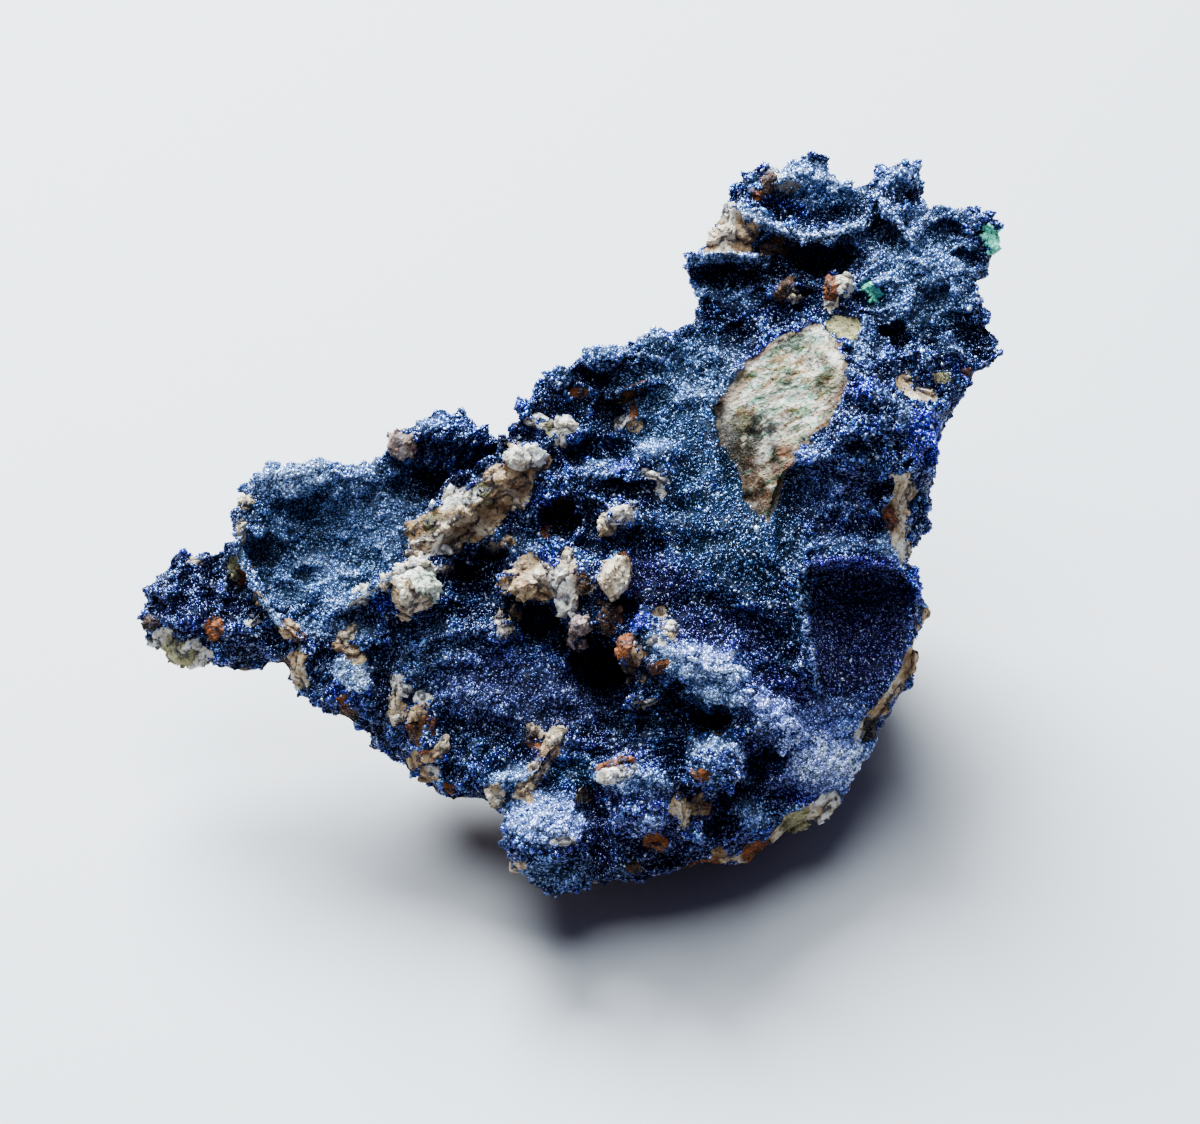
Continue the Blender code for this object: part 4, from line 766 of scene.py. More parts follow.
def cloud(points, size, octaves=1):
    """Cloudy noise from about -1 to 1."""
    total = np.zeros(len(points))
    height = 1.0
    for _ in range(octaves):
        total += height * np.array([noise.noise(Vector(p) / size + SHIFT) for p in points])
        size /= 2.0
        height /= 2.0
    return total


def lumpy(points, size):
    """Rounded lumps side by side: near 1 on top of each and 0 in the creases between them."""
    near = np.array([noise.voronoi(Vector(p) / size + SHIFT)[0][:2] for p in points])
    return smooth_step(0.0, 0.75, near[:, 1] - near[:, 0]) * (1.0 - 0.4 * near[:, 0])


def settle(item):
    bpy.context.view_layer.update()
    shaped = item.evaluated_get(bpy.context.evaluated_depsgraph_get())
    mesh = bpy.data.meshes.new_from_object(shaped)
    item.modifiers.clear()
    item.data = mesh


def new_object(name, mesh):
    item = bpy.data.objects.new(name, mesh)
    bpy.context.scene.collection.objects.link(item)
    return item


def refine(item, voxel, rounds):
    remesh = item.modifiers.new("refine", "REMESH")
    remesh.mode = "VOXEL"
    remesh.voxel_size = voxel
    ease = item.modifiers.new("ease", "SMOOTH")
    ease.factor = 0.5
    ease.iterations = rounds
    settle(item)


def stone_copy():
    """The solid's own mesh, merged, in millimetres, refined and with its facets eased."""
    bm = bmesh.new()
    bm.from_mesh(bpy.data.objects[NODE].data)
    bmesh.ops.remove_doubles(bm, verts=bm.verts, dist=1e-7)
    bmesh.ops.scale(bm, vec=(1 / MM,) * 3, verts=bm.verts)
    mesh = bpy.data.meshes.new("stone")
    bm.to_mesh(mesh)
    bm.free()
    stone = new_object("azurite_body", mesh)
    refine(stone, BODY_VOXEL, FACET_EASING)
    return stone


def tree_of(mesh):
    bm = bmesh.new()
    bm.from_mesh(mesh)
    tree = BVHTree.FromBMesh(bm)
    bm.free()
    return tree


def spread(mesh, values, rounds):
    """Evens values out over the surface."""
    edges = np.empty(len(mesh.edges) * 2, int)
    mesh.edges.foreach_get("vertices", edges)
    edges = edges.reshape(-1, 2)
    count = np.maximum(np.bincount(edges.ravel(), minlength=len(values)), 1)
    columns = values.reshape(len(values), -1).T
    result = []
    for column in columns:
        for _ in range(rounds):
            total = np.bincount(edges[:, 0], column[edges[:, 1]], len(column))
            total += np.bincount(edges[:, 1], column[edges[:, 0]], len(column))
            column = 0.5 * column + 0.5 * total / count
        result.append(column)
    return np.stack(result, axis=1).reshape(values.shape)


def open_to_sky(points, normals, tree):
    """1 where nothing of the stone stands above a point."""
    result = np.zeros(len(points))
    up = Vector((0.0, 0.0, 1.0))
    for i, (point, normal) in enumerate(zip(points, normals)):
        if normal[2] < -0.2:
            continue
        start = Vector(point) + Vector(normal) * CLEAR
        if tree.ray_cast(start, up)[0] is None:
            result[i] = 1.0
    return result


def seen(points, tree, slack):
    """Which points can be seen in the view."""
    result = np.zeros(len(points), bool)
    for i, point in enumerate(points):
        way = Vector(point) - EYE
        far = way.length
        hit = tree.ray_cast(EYE, way / far)
        result[i] = hit[0] is not None and hit[3] > far - slack
    return result


def room_behind(points, ways, tree):
    """How thick the stone is behind each point, the given way."""
    result = np.zeros(len(points))
    for i, (point, way) in enumerate(zip(points, ways)):
        way = Vector(way).normalized()
        hit = tree.ray_cast(Vector(point) + way * SKIN, way)
        result[i] = hit[3] if hit[0] is not None else 0.0
    return result


def store(mesh, name, values):
    if values.ndim == 1:
        layer = mesh.attributes.new(name, "FLOAT", "POINT")
        layer.data.foreach_set("value", values.astype(np.float32))
    else:
        layer = mesh.attributes.new(name, "FLOAT_COLOR", "POINT")
        full = np.ones((len(values), 4), np.float32)
        full[:, :3] = values
        layer.data.foreach_set("color", full.ravel())


def stain_colours(points, stain, blotch):
    """Host-rock colour at each point, between a stain's pale and dark tones."""
    pale, dark = (np.array(tone) for tone in STAINS[stain])
    if stain == "mottled":
        points = points - 0.65 * (points @ np.array(STREAK))[:, None] * np.array(STREAK)
    share = smooth_step(-0.5, 0.6, cloud(points, blotch, octaves=3))
    return ROCK_DIM * (pale * (1 - share[:, None]) + dark * share[:, None])


# ---------------------------------------------------------------- the body
def carve(mesh):
    """The relief of the upper face: lumps, ledges, hollows and creases, along the sight line."""
    points = read_points(mesh)
    normals = read_normals(mesh)
    tree = tree_of(mesh)
    facing = smooth_step(0.05, 0.35, -(normals @ np.array(FORWARD)))
    chosen = np.flatnonzero(facing > 0)
    chosen = chosen[seen(points[chosen], tree, 0.8)]
    here = points[chosen]
    spots = view_place(here)
    wobble = np.stack([cloud(here, 1.3, 2), cloud(here + 60.0, 1.3, 2)], axis=1)
    spots = spots + WAVER * wobble
    out = np.zeros(len(here))
    inward = np.zeros(len(here))
    for oval in DOMES:
        reach = oval_distance(spots, *oval[:5])
        close = near_hit(here, tree, oval, 1.6, 1.2)
        out = np.maximum(out, close * DOME_GAIN * oval[5] * np.sqrt(np.clip(1 - reach ** 2, 0, 1)))
    for oval in PITS:
        reach = oval_distance(spots, *oval[:5])
        close = near_hit(here, tree, oval, 1.6, 1.2)
        inward = np.maximum(inward, close * PIT_GAIN * oval[5] * (1 - smooth_step(0.5, 1.15, reach)))
    for points_along, half, height in RIDGES:
        reach = line_distance(spots, points_along) / half
        out += RIDGE_GAIN * height * np.sqrt(np.clip(1 - reach ** 2, 0, 1))
    for points_along, half, depth in CREASES:
        reach = line_distance(spots, points_along) / half
        inward = np.maximum(inward, depth * (1 - smooth_step(0.3, 1.1, reach)))
    inside = outline_depth(spots, HOLLOW)
    fall = np.clip((spots[:, 1] - HOLLOW_LIP) / HOLLOW_FALL, 0, 1)
    depth = HOLLOW_DEPTH[0] * (1 - fall) + HOLLOW_DEPTH[1] * fall
    inward = np.maximum(inward, depth * smooth_step(-2.0, 9.0, inside))
    thick = room_behind(here, here - np.array(EYE), tree)
    inward = np.minimum(inward, np.maximum(0.55 * (thick - 0.8), 0.0))
    out = out * (1 - smooth_step(0.6, 1.6, inward))
    toward_eye = -np.array(FORWARD)
    lift = LUMP_WAY[0] * toward_eye + LUMP_WAY[1] * normals[chosen]
    move = lift * out[:, None] - toward_eye * inward[:, None]
    points[chosen] += move * facing[chosen][:, None]

    # the broken face is evened out towards its own plane and set a little deeper
    face = chosen[outline_depth(spots, BARE_OUTLINES["broken face"][0]) > 0]
    middle = points[face].mean(axis=0)
    across = np.linalg.svd(points[face] - middle)[2][2]
    across = across * np.sign(across[2])
    away = (points[face] - middle) @ across
    points[face] -= across * (FACE_FLATTENING * away + FACE_SINK)[:, None]
    points[:, 2] = np.maximum(points[:, 2], 0.0)
    write_points(mesh, points)


def cells_at(points, size):
    """For each point, the middle of the rounded cell that it lies in, and the way there, in cell sizes."""
    spots = [Vector(p) / size + SHIFT for p in points]
    middles = [noise.voronoi(spot)[1][0] for spot in spots]
    return middles, np.array(spots) - np.array(middles)


def chips(points, size):
    """Heights of flat broken facets, each of which leans its own way."""
    middles, away = cells_at(points, size)
    leans = np.array([noise.noise_vector(middle * 7.3) for middle in middles])
    return size * (away * leans).sum(axis=1)


def cell_values(points, size):
    """One value from about 0 to 1 for each cell of the given size."""
    middles, _ = cells_at(points, size)
    return np.array([0.5 + 0.8 * noise.noise(middle * 7.3) for middle in middles])


def rough_sides(mesh):
    """Broken beds and chips on the sides and the underside."""
    points = read_points(mesh)
    normals = read_normals(mesh)
    hidden = smooth_step(0.0, -0.35, -(normals @ np.array(FORWARD)))
    beds = cloud(points * np.array((0.35, 0.35, 1.5)), 2.6, 2)
    steps = np.floor(beds * 4.0) / 4.0 + 0.35 * (beds * 4.0 - np.floor(beds * 4.0)) / 4.0
    coarse, coarse_share = COARSE_CHIPS
    small, small_share = FINE_CHIPS
    broken = coarse_share * chips(points, coarse) + small_share * chips(points + 11.0, small) - 0.3
    push = hidden * (0.6 * steps + broken) * smooth_step(0.4, 2.5, points[:, 2])
    thick = room_behind(points, -normals, tree_of(mesh))
    push = np.maximum(spread(mesh, push, 2), -0.3 * np.maximum(thick - 2.5, 0))
    write_points(mesh, points + normals * push[:, None])


def shape_body():
    """The stone under its crystals: bare patches sunk below the coat, lumps on the coated part."""
    stone = stone_copy()
    carve(stone.data)
    rough_sides(stone.data)
    refine(stone, BODY_VOXEL, 1)
    mesh = stone.data
    points = read_points(mesh)
    normals = read_normals(mesh)
    tree = tree_of(mesh)

    coat = spread(mesh, open_to_sky(points, normals, tree), 16)
    coat = smooth_step(0.12, 0.3, coat + 0.16 * cloud(points, 5.0, 2) + 0.14 * cloud(points, 1.4, 2))
    speck = smooth_step(0.34, 0.46, cloud(points + 40.0, 7.0, 4)) * smooth_step(-0.75, 0.1, normals[:, 2])
    front = smooth_step(-0.05, 0.12, spread(mesh, -(normals @ np.array(FORWARD)), 3))
    resting = smooth_step(0.5, 2.0, points[:, 2])
    coat = np.maximum(np.maximum(coat, 0.95 * speck), front) * resting

    colours = stain_colours(points, "side", 4.0)
    earthy = 0.8 * smooth_step(-0.1, 0.5, cloud(points + 90.0, 9.0, 4))[:, None]
    colours = colours * (1 - earthy) + stain_colours(points, "brown", 3.0) * earthy
    veins = 0.7 * (1 - smooth_step(0.0, 0.1, np.abs(cloud(points + 150.0, 9.0, 3))))[:, None]
    colours = colours * (1 - veins) + stain_colours(points, "rust", 2.0) * veins
    colours *= (0.55 + 0.5 * cell_values(points, 3.4) + 0.5 * cell_values(points, 1.3))[:, None]
    spots = view_place(points)
    fray = FRAY * cloud(points, 0.9, 2)
    bare = np.zeros(len(points))
    for outline, stain in BARE_OUTLINES.values():
        inside = outline_depth(spots, outline) + fray
        near = np.flatnonzero(inside > -10.0)
        near = near[seen(points[near], tree, 1.6)]
        bare[near] = np.maximum(bare[near], smooth_step(-2.5, 2.5, inside[near]))
        cover = smooth_step(-9.0, -2.0, inside[near])[:, None]
        colours[near] = colours[near] * (1 - cover) + stain_colours(points[near], stain, 1.5) * cover
        if stain == "mottled":
            rim = 0.75 * smooth_step(9.0, 3.0, inside[near]) * smooth_step(-12.0, -2.0, inside[near])
            rim = rim[:, None]
            colours[near] = colours[near] * (1 - rim) + stain_colours(points[near], "brown", 1.5) * rim
    for *oval, stain, strength in ROCK_TINTS:
        here = zone(points, [(*oval, strength)], tree, soft=(0.5, 1.1))
        near = np.flatnonzero(here > 0.01)
        cover = (here[near] * smooth_step(-0.7, -0.1, cloud(points[near] + 20.0, 0.9, 2)))[:, None]
        colours[near] = colours[near] * (1 - cover) + stain_colours(points[near], stain, 1.5) * cover
    for u, v, half_u, half_v, turn, _, stain in BLOCKS:
        reach = oval_distance(spots, u, v, half_u + 1.0, half_v + 1.0, turn) - fray * 0.06
        close = near_hit(points, tree, (u, v, half_u, half_v), 1.7, 1.0)
        near = np.flatnonzero((reach < 1.5) & close)
        bare[near] = np.maximum(bare[near], 1 - smooth_step(0.8, 1.05, reach[near]))
        cover = (1 - smooth_step(1.1, 1.4, reach[near]))[:, None]
        colours[near] = colours[near] * (1 - cover) + stain_colours(points[near], stain, 1.2) * cover
    near = np.flatnonzero(outline_depth(spots, HOLLOW) > -16)
    near = near[seen(points[near], tree, 2.0)]
    coat[near] = np.maximum(coat[near], smooth_step(-16, -8, outline_depth(spots[near], HOLLOW)))
    coat = coat * (1 - bare)

    calm = zone(points, CALM, tree)
    face = zone(points, BROKEN_FACE, tree)
    even = spread(mesh, coat, 1)
    wide, wide_height = LUMPS
    small, small_height = SMALL_LUMPS
    grown = (lumpy(points, wide) - 0.5) * wide_height + (lumpy(points + 7.0, small) - 0.5) * small_height
    push = even * grown * (1 - 0.8 * calm) + 0.2 * cloud(points, 3.5, 2) * (1 - calm)
    crumb = 0.22 * cloud(points, 1.1, 2) + 0.3 * (lumpy(points + 3.0, 1.9) - 0.5)
    push += (1 - even) * crumb * (1 - 0.15 * face)
    push += COAT_EDGE * even - COAT_ROOM
    push *= resting
    points = points + normals * push[:, None]
    points[:, 2] = np.maximum(points[:, 2], 0.0)
    write_points(mesh, points)
    eased = [spread(mesh, points, rounds) for rounds in (4, 14, 70)]
    fine = ((2 * points - eased[0] - eased[1]) * read_normals(mesh)).sum(axis=1)
    broad = ((points - eased[2]) * read_normals(mesh)).sum(axis=1)
    store(mesh, "coat", coat)
    store(mesh, "rock_colour", colours)
    tree = tree_of(mesh)
    # painted light and shade from the relief tables: lighter on lumps and domes, darker in pits
    knobs = zone(points, [(*oval, min(1.0, height)) for *oval, height in DOMES], tree)
    gaps = zone(points, [(*oval, min(0.85, depth / 2.5)) for *oval, depth in PITS], tree)
    raised = np.stack([fine, broad, knobs - gaps], axis=1)
    # painted shade between the crystals: the body's copy of the coat colours is darkened, less where painted
    # highlights lie
    between = 0.45 + 0.45 * np.clip(zone(points, PAINTED_HIGHLIGHTS, tree), 0, 1)
    tint_and_painted_light = spread(mesh, coat_colours_and_painted_light(points, read_normals(mesh), tree, raised), 1)
    store(mesh, "tint_and_painted_light", tint_and_painted_light * between[:, None])
    store(mesh, "face", face * bare)
    return stone, coat, calm, raised


# ---------------------------------------------------------------- crystals
def crystal_forms():
    """Small azurite shapes of a few flat faces, about one unit across: bipyramids and a leaning tablet."""
    forms = []
    for sides, wide, deep, tall, lean in CRYSTAL_SHAPES:
        bm = bmesh.new()
        if sides:
            bmesh.ops.create_uvsphere(bm, u_segments=sides, v_segments=2, radius=0.5)
        else:
            bmesh.ops.create_cube(bm, size=0.75)
        bmesh.ops.scale(bm, vec=(wide, deep, tall), verts=bm.verts)
        for corner in bm.verts:
            corner.co.x += corner.co.z * lean
        bmesh.ops.triangulate(bm, faces=bm.faces)
        bmesh.ops.recalc_face_normals(bm, faces=bm.faces)
        bm.verts.index_update()
        corners = np.array([corner.co for corner in bm.verts])
        faces = np.array([[corner.index for corner in face.verts] for face in bm.faces])
        forms.append((corners, faces))
        bm.free()
    return forms


def scatter(mesh, weight, count):
    """Random places on the surface, more where the weight of the corners is greater."""
    mesh.calc_loop_triangles()
    triangles = np.empty(len(mesh.loop_triangles) * 3, int)
    mesh.loop_triangles.foreach_get("vertices", triangles)
    triangles = triangles.reshape(-1, 3)
    points = read_points(mesh)
    normals = read_normals(mesh)
    a, b, c = (points[triangles[:, k]] for k in range(3))
    area = np.linalg.norm(np.cross(b - a, c - a), axis=1)
    chance = area * weight[triangles].mean(axis=1)
    chosen = RANDOM.choice(len(triangles), count, p=chance / chance.sum())
    share = RANDOM.random((count, 2))
    flip = share.sum(axis=1) > 1
    share[flip] = 1 - share[flip]
    first, second = share[:, :1], share[:, 1:]
    corner = triangles[chosen]
    place = points[corner[:, 0]] * (1 - first - second)
    place = place + points[corner[:, 1]] * first + points[corner[:, 2]] * second
    normal = normals[corner].mean(axis=1)
    return place, normal / np.linalg.norm(normal, axis=1)[:, None], corner[:, 0]


def turned_frames(axis, turn):
    """Three square directions for each axis, turned about it towards the other direction given."""
    side = np.cross(axis, turn)
    side /= np.linalg.norm(side, axis=1)[:, None]
    return side, np.cross(axis, side), axis


def swirl(points, size):
    """Directions that change slowly over the stone."""
    return np.array([noise.noise_vector(Vector(p) / size + SHIFT) for p in points])


def joined(name, forms, kinds, places, frames, sizes, colours, extra, colour_name="tint_and_painted_light"):
    """One mesh of many small shapes: each form is copied to its places and all copies are joined."""
    all_points, all_faces, all_colours, all_extra = [], [], [], []
    start = 0
    for kind, (corners, faces) in enumerate(forms):
        chosen = np.flatnonzero(kinds == kind)
        shaped = corners[None] * sizes[chosen][:, None, :]
        x, y, z = (direction[chosen][:, None, :] for direction in frames)
        points = places[chosen][:, None, :] + shaped[..., :1] * x + shaped[..., 1:2] * y + shaped[..., 2:] * z
        step = np.arange(len(chosen))[:, None, None] * len(corners)
        all_points.append(points.reshape(-1, 3))
        all_faces.append((faces[None] + step + start).reshape(-1, 3))
        all_colours.append(np.repeat(colours[chosen], len(corners), axis=0))
        all_extra.append(np.repeat(extra[chosen], len(corners)))
        start += len(chosen) * len(corners)
    points = np.vstack(all_points) * MM
    faces = np.vstack(all_faces)
    mesh = bpy.data.meshes.new(name)
    mesh.vertices.add(len(points))
    mesh.vertices.foreach_set("co", points.ravel())
    mesh.loops.add(len(faces) * 3)
    mesh.loops.foreach_set("vertex_index", faces.ravel())
    mesh.polygons.add(len(faces))
    mesh.polygons.foreach_set("loop_start", np.arange(len(faces)) * 3)
    mesh.update(calc_edges=True)
    mesh.validate()
    store(mesh, colour_name, np.vstack(all_colours))
    store(mesh, "gloss", np.concatenate(all_extra))
    return new_object(name, mesh)


def coat_colours_and_painted_light(points, normals, tree, raised):
    """Colour of each crystal, with painted light and shade: painted shade near black in creases, blue and
    painted steel glints where it stands out and faces up, painted highlights and white glints in zones,
    tinted in areas.
    """
    dice = RANDOM.random((len(points), 5))
    fine, broad, knobs = raised.T
    # how far each crystal stands out: the painted light and shade below follow it
    height = smooth_step(-0.3, 0.4, fine) * (0.3 + 0.7 * smooth_step(-0.45, 0.35, broad))
    height = np.clip(height + 0.25 * np.maximum(knobs, 0), 0, 1) * (1 + 0.75 * np.minimum(knobs, 0))
    # painted light: crystals that face up are made lighter
    lit_from_above = 0.45 + 0.55 * smooth_step(-0.1, 0.8, normals[:, 2])
    # painted shade: darker in creases, lighter where the coat stands out
    lit = (0.1 + 0.9 * height) * (0.3 + 0.7 * dice[:, 1])
    colours = BLACK_TONE + (NAVY_TONE - BLACK_TONE) * lit[:, None]
    # painted glints: steel-blue crystals, more where the coat stands out and faces up
    glinting = (0.16 + 0.9 * height) * lit_from_above * smooth_step(0.4, 0.95, dice[:, 2])
    colours += (GLINT_STEEL_TONE - colours) * glinting[:, None]
    patchy = smooth_step(-0.2, 0.6, cloud(points, 3.0, 2))
    bright = zone(points, BRIGHT_BLUE, tree) * (0.3 + 0.5 * dice[:, 0])
    blue = (0.25 * patchy + 0.4 * height) * dice[:, 0] + bright
    colours += (ULTRAMARINE_TONE - colours) * smooth_step(0.25, 0.95, blue)[:, None]
    tints = ((VIOLET, VIOLET_TONE, 0.6), (TEAL, TEAL_TONE, 0.3), (GREY_VIOLET, SMOKY_TONE, 0.6))
    for ovals, colour, amount in tints:
        here = zone(points, ovals, tree) * amount * (0.2 + 0.8 * dice[:, 3])
        colours += (colour - colours) * here[:, None]
    # painted shade: the crystals in these zones are darkened towards near black
    shade = zone(points, SHADE, tree, soft=(0.5, 1.2))
    colours += (BLACK_TONE - colours) * (0.85 * shade)[:, None]
    spots = view_place(points)
    # painted highlights in the zones and along the ledges: frost blue, lavender in the violet zones, near
    # white where strongest
    pale = zone(points, PAINTED_HIGHLIGHTS, tree)
    for ledge, half, strength in PAINTED_HIGHLIGHT_LINES:
        inside = 1 - smooth_step(0.4, 1.1, line_distance(spots, ledge) / half)
        near = np.flatnonzero(inside > 0)
        near = near[seen(points[near], tree, 1.0)]
        pale[near] = np.maximum(pale[near], strength * inside[near])
    painted_highlight = pale * (0.6 + 0.4 * height) * (0.45 + 0.55 * dice[:, 3])
    highlight_tone = HIGHLIGHT_TONE + (LAVENDER_HIGHLIGHT_TONE - HIGHLIGHT_TONE) * np.clip(zone(points, VIOLET, tree), 0, 1)[:, None]
    colours += (highlight_tone - colours) * np.clip(painted_highlight, 0, 1)[:, None]
    colours += (GLINT_WHITE_TONE - colours) * np.clip(painted_highlight - 0.75, 0, 0.8)[:, None]
    # painted glints: a share of the crystals made near white
    sparkling = dice[:, 4] < SPARKLING
    spark = sparkling * (0.35 + 0.65 * height) * lit_from_above * (0.5 + 0.5 * dice[:, 0]) * (1 - 0.3 * shade)
    colours += (GLINT_WHITE_TONE - colours) * spark[:, None]
    return colours


def grow_coat(stone, coat, calm, raised, tree):
    """The druse: many thousands of crystals, in a few joined meshes."""
    forms = crystal_forms()
    pieces = []
    facing = smooth_step(-0.2, 0.3, -(read_normals(stone.data) @ np.array(FORWARD)))
    weight = smooth_step(0.4, 0.7, coat) * (0.5 + 0.5 * facing)
    weight *= 1 - smooth_step(0.3, 0.6, zone(read_points(stone.data), MALACHITE, tree))
    each = CRYSTALS_A_SHEET
    for sheet in range(CRYSTAL_SHEETS):
        place, normal, corner = scatter(stone.data, weight, each)
        tilt = normal * 0.6 + swirl(place, 1.1) * 1.6 + RANDOM.normal(size=normal.shape) * 0.35
        axis = tilt / np.linalg.norm(tilt, axis=1)[:, None]
        turn = swirl(place + 30.0, 1.1) * 1.6 + RANDOM.normal(size=normal.shape) * 0.3
        length = np.exp(RANDOM.normal(math.log(CRYSTAL_LENGTH), 0.3, each)) * (1 - 0.15 * calm[corner])
        length = np.clip(length, *CRYSTAL_LENGTHS)
        width = length * RANDOM.uniform(0.9, 1.3, each)
        sizes = np.stack([width, width * RANDOM.uniform(0.7, 1.1, each), length], axis=1)
        place = place - normal * (length * 0.08)[:, None]
        colours = coat_colours_and_painted_light(place, normal, tree, raised[corner])
        name = f"azurite_coat_{sheet + 1}"
        kinds = RANDOM.choice(len(forms), each, p=CRYSTAL_SHARES)
        frames = turned_frames(axis, turn)
        pieces.append(joined(name, forms, kinds, place, frames, sizes, colours, RANDOM.random(each)))
    return pieces


def grow_malachite(stone, tree):
    """Green crust in a few small patches of the coat."""
    green = smooth_step(0.3, 0.6, zone(read_points(stone.data), MALACHITE, tree))
    place, normal, _ = scatter(stone.data, green, MALACHITE_GRAINS)
    axis = normal + RANDOM.normal(size=normal.shape) * 0.5
    axis /= np.linalg.norm(axis, axis=1)[:, None]
    sizes = RANDOM.uniform(*MALACHITE_SIZES, (MALACHITE_GRAINS, 1))
    sizes = sizes * RANDOM.uniform(0.8, 1.2, (MALACHITE_GRAINS, 3))
    share = RANDOM.random((MALACHITE_GRAINS, 1)) * smooth_step(-0.3, 0.4, cloud(place, 1.2, 2))[:, None]
    colours = PALE_GREEN + (DEEP_GREEN - PALE_GREEN) * share
    kinds = RANDOM.integers(0, 3, MALACHITE_GRAINS)
    frames = turned_frames(axis, RANDOM.normal(size=axis.shape))
    gloss = RANDOM.random(MALACHITE_GRAINS)
    return joined("malachite_crust", crystal_forms(), kinds, place, frames, sizes, colours, gloss)


# ---------------------------------------------------------------- blocks of host rock
def rough_block(width, height, depth, dice):
    """A cleaved, crumbly block: a lump cut by slanting planes, then broken up finely."""
    bm = bmesh.new()
    bmesh.ops.create_icosphere(bm, subdivisions=1, radius=0.5)
    bmesh.ops.rotate(bm, matrix=Matrix.Rotation(dice.uniform(0, math.pi), 3, "Z"), verts=bm.verts)
    bmesh.ops.scale(bm, vec=(width, height, depth), verts=bm.verts)
    for _ in range(BLOCK_CUTS):
        direction = Vector(dice.normal(size=3)).normalized()
        reach = Vector((direction.x * width, direction.y * height, direction.z * depth)).length
        spot = direction * reach * dice.uniform(0.28, 0.42)
        geometry = bm.verts[:] + bm.edges[:] + bm.faces[:]
        bmesh.ops.bisect_plane(bm, geom=geometry, plane_co=spot, plane_no=direction, clear_outer=True)
        bmesh.ops.holes_fill(bm, edges=[edge for edge in bm.edges if edge.is_boundary], sides=0)
    bmesh.ops.triangulate(bm, faces=bm.faces)
    for longest in BLOCK_EDGES:
        long_edges = [edge for edge in bm.edges if edge.calc_length() > longest]
        if long_edges:
            bmesh.ops.subdivide_edges(bm, edges=long_edges, cuts=1)
            bmesh.ops.triangulate(bm, faces=[face for face in bm.faces if len(face.verts) > 3])
    bm.normal_update()
    offset = Vector(dice.uniform(-50, 50, 3))
    for corner in bm.verts:
        push = 0.16 * noise.noise(corner.co / 1.1 + offset) + 0.08 * noise.noise(corner.co / 0.4 + offset)
        corner.co += corner.normal * push
    return bm


def above(point, tree):
    """How far a point stands out of the body; below 0 inside it."""
    place, normal, _, away = tree.find_nearest(point)
    return away if (point - place).dot(normal) > 0 else -away


def set_blocks(tree):
    """The pale, tan and rusty blocks, seated in the stone where they show, in one joined mesh."""
    whole = bmesh.new()
    colours = []
    dice = np.random.default_rng(BLOCK_SEED)
    for u, v, half_u, half_v, turn, stand, stain in BLOCKS:
        hit, normal, _, _ = tree.ray_cast(EYE, ray(u, v))
        if hit is None:
            continue
        depth = 2.2 * stand + 0.8
        width, height = (BLOCK_GROWTH * half * PIXEL_SIZE for half in (half_u, half_v))
        block = rough_block(width, height, depth, dice)
        facing = (normal * 0.5 - FORWARD * 0.5).normalized()
        side = Vector((1.0, 0.0, 0.0))
        side = (side - facing * side.dot(facing)).normalized()
        axes = Matrix((side, facing.cross(side), facing)).transposed().to_4x4()
        place = Matrix.Translation(hit + facing * (0.55 * stand - depth * 0.5))
        block.transform(place @ axes @ Matrix.Rotation(math.radians(turn), 4, "Z"))
        part = bpy.data.meshes.new("block")
        block.to_mesh(part)
        block.free()
        points = read_points(part)
        # painted shade at the feet of the blocks: corners at or under the stone's surface are darkened
        # towards dark blue
        contact_shade = np.array([1.0 if above(Vector(p), tree) < 0.12 else 0.0 for p in points])[:, None]
        tone = stain_colours(points, stain, 1.1)
        colours.append(tone * (1 - 0.75 * contact_shade) + CONTACT_SHADE_BLUE * 0.75 * contact_shade)
        whole.from_mesh(part)
        bpy.data.meshes.remove(part)
    mesh = bpy.data.meshes.new("host_rock_blocks")
    whole.to_mesh(mesh)
    whole.free()
    store(mesh, "rock_colour", np.vstack(colours))
    return new_object("host_rock_blocks", mesh)


def set_grains(blocks):
    """Small leaning crystals of calcite grown together on the blocks."""
    place, normal, corner = scatter(blocks.data, np.ones(len(blocks.data.vertices)), GRAINS)
    axis = normal * 0.5 + swirl(place, 2.0) * 1.5 + RANDOM.normal(size=normal.shape) * 0.3
    axis /= np.linalg.norm(axis, axis=1)[:, None]
    turn = swirl(place + 30.0, 2.0) + RANDOM.normal(size=normal.shape) * 0.2
    sizes = RANDOM.uniform(*GRAIN_SIZES, (GRAINS, 1)) * RANDOM.uniform(0.7, 1.2, (GRAINS, 3))
    place = place - normal * sizes * 0.15
    colours = np.empty(len(blocks.data.vertices) * 4)
    blocks.data.attributes["rock_colour"].data.foreach_get("color", colours)
    colours = colours.reshape(-1, 4)[corner, :3] * RANDOM.uniform(0.6, 1.45, (GRAINS, 1))
    colours = np.clip(colours, 0, 0.8)
    forms = crystal_forms()
    kinds = RANDOM.choice(len(forms), GRAINS, p=GRAIN_SHARES)
    frames = turned_frames(axis, turn)
    gloss = RANDOM.random(GRAINS)
    return joined("host_rock_grains", forms, kinds, place, frames, sizes, colours, gloss, "rock_colour")


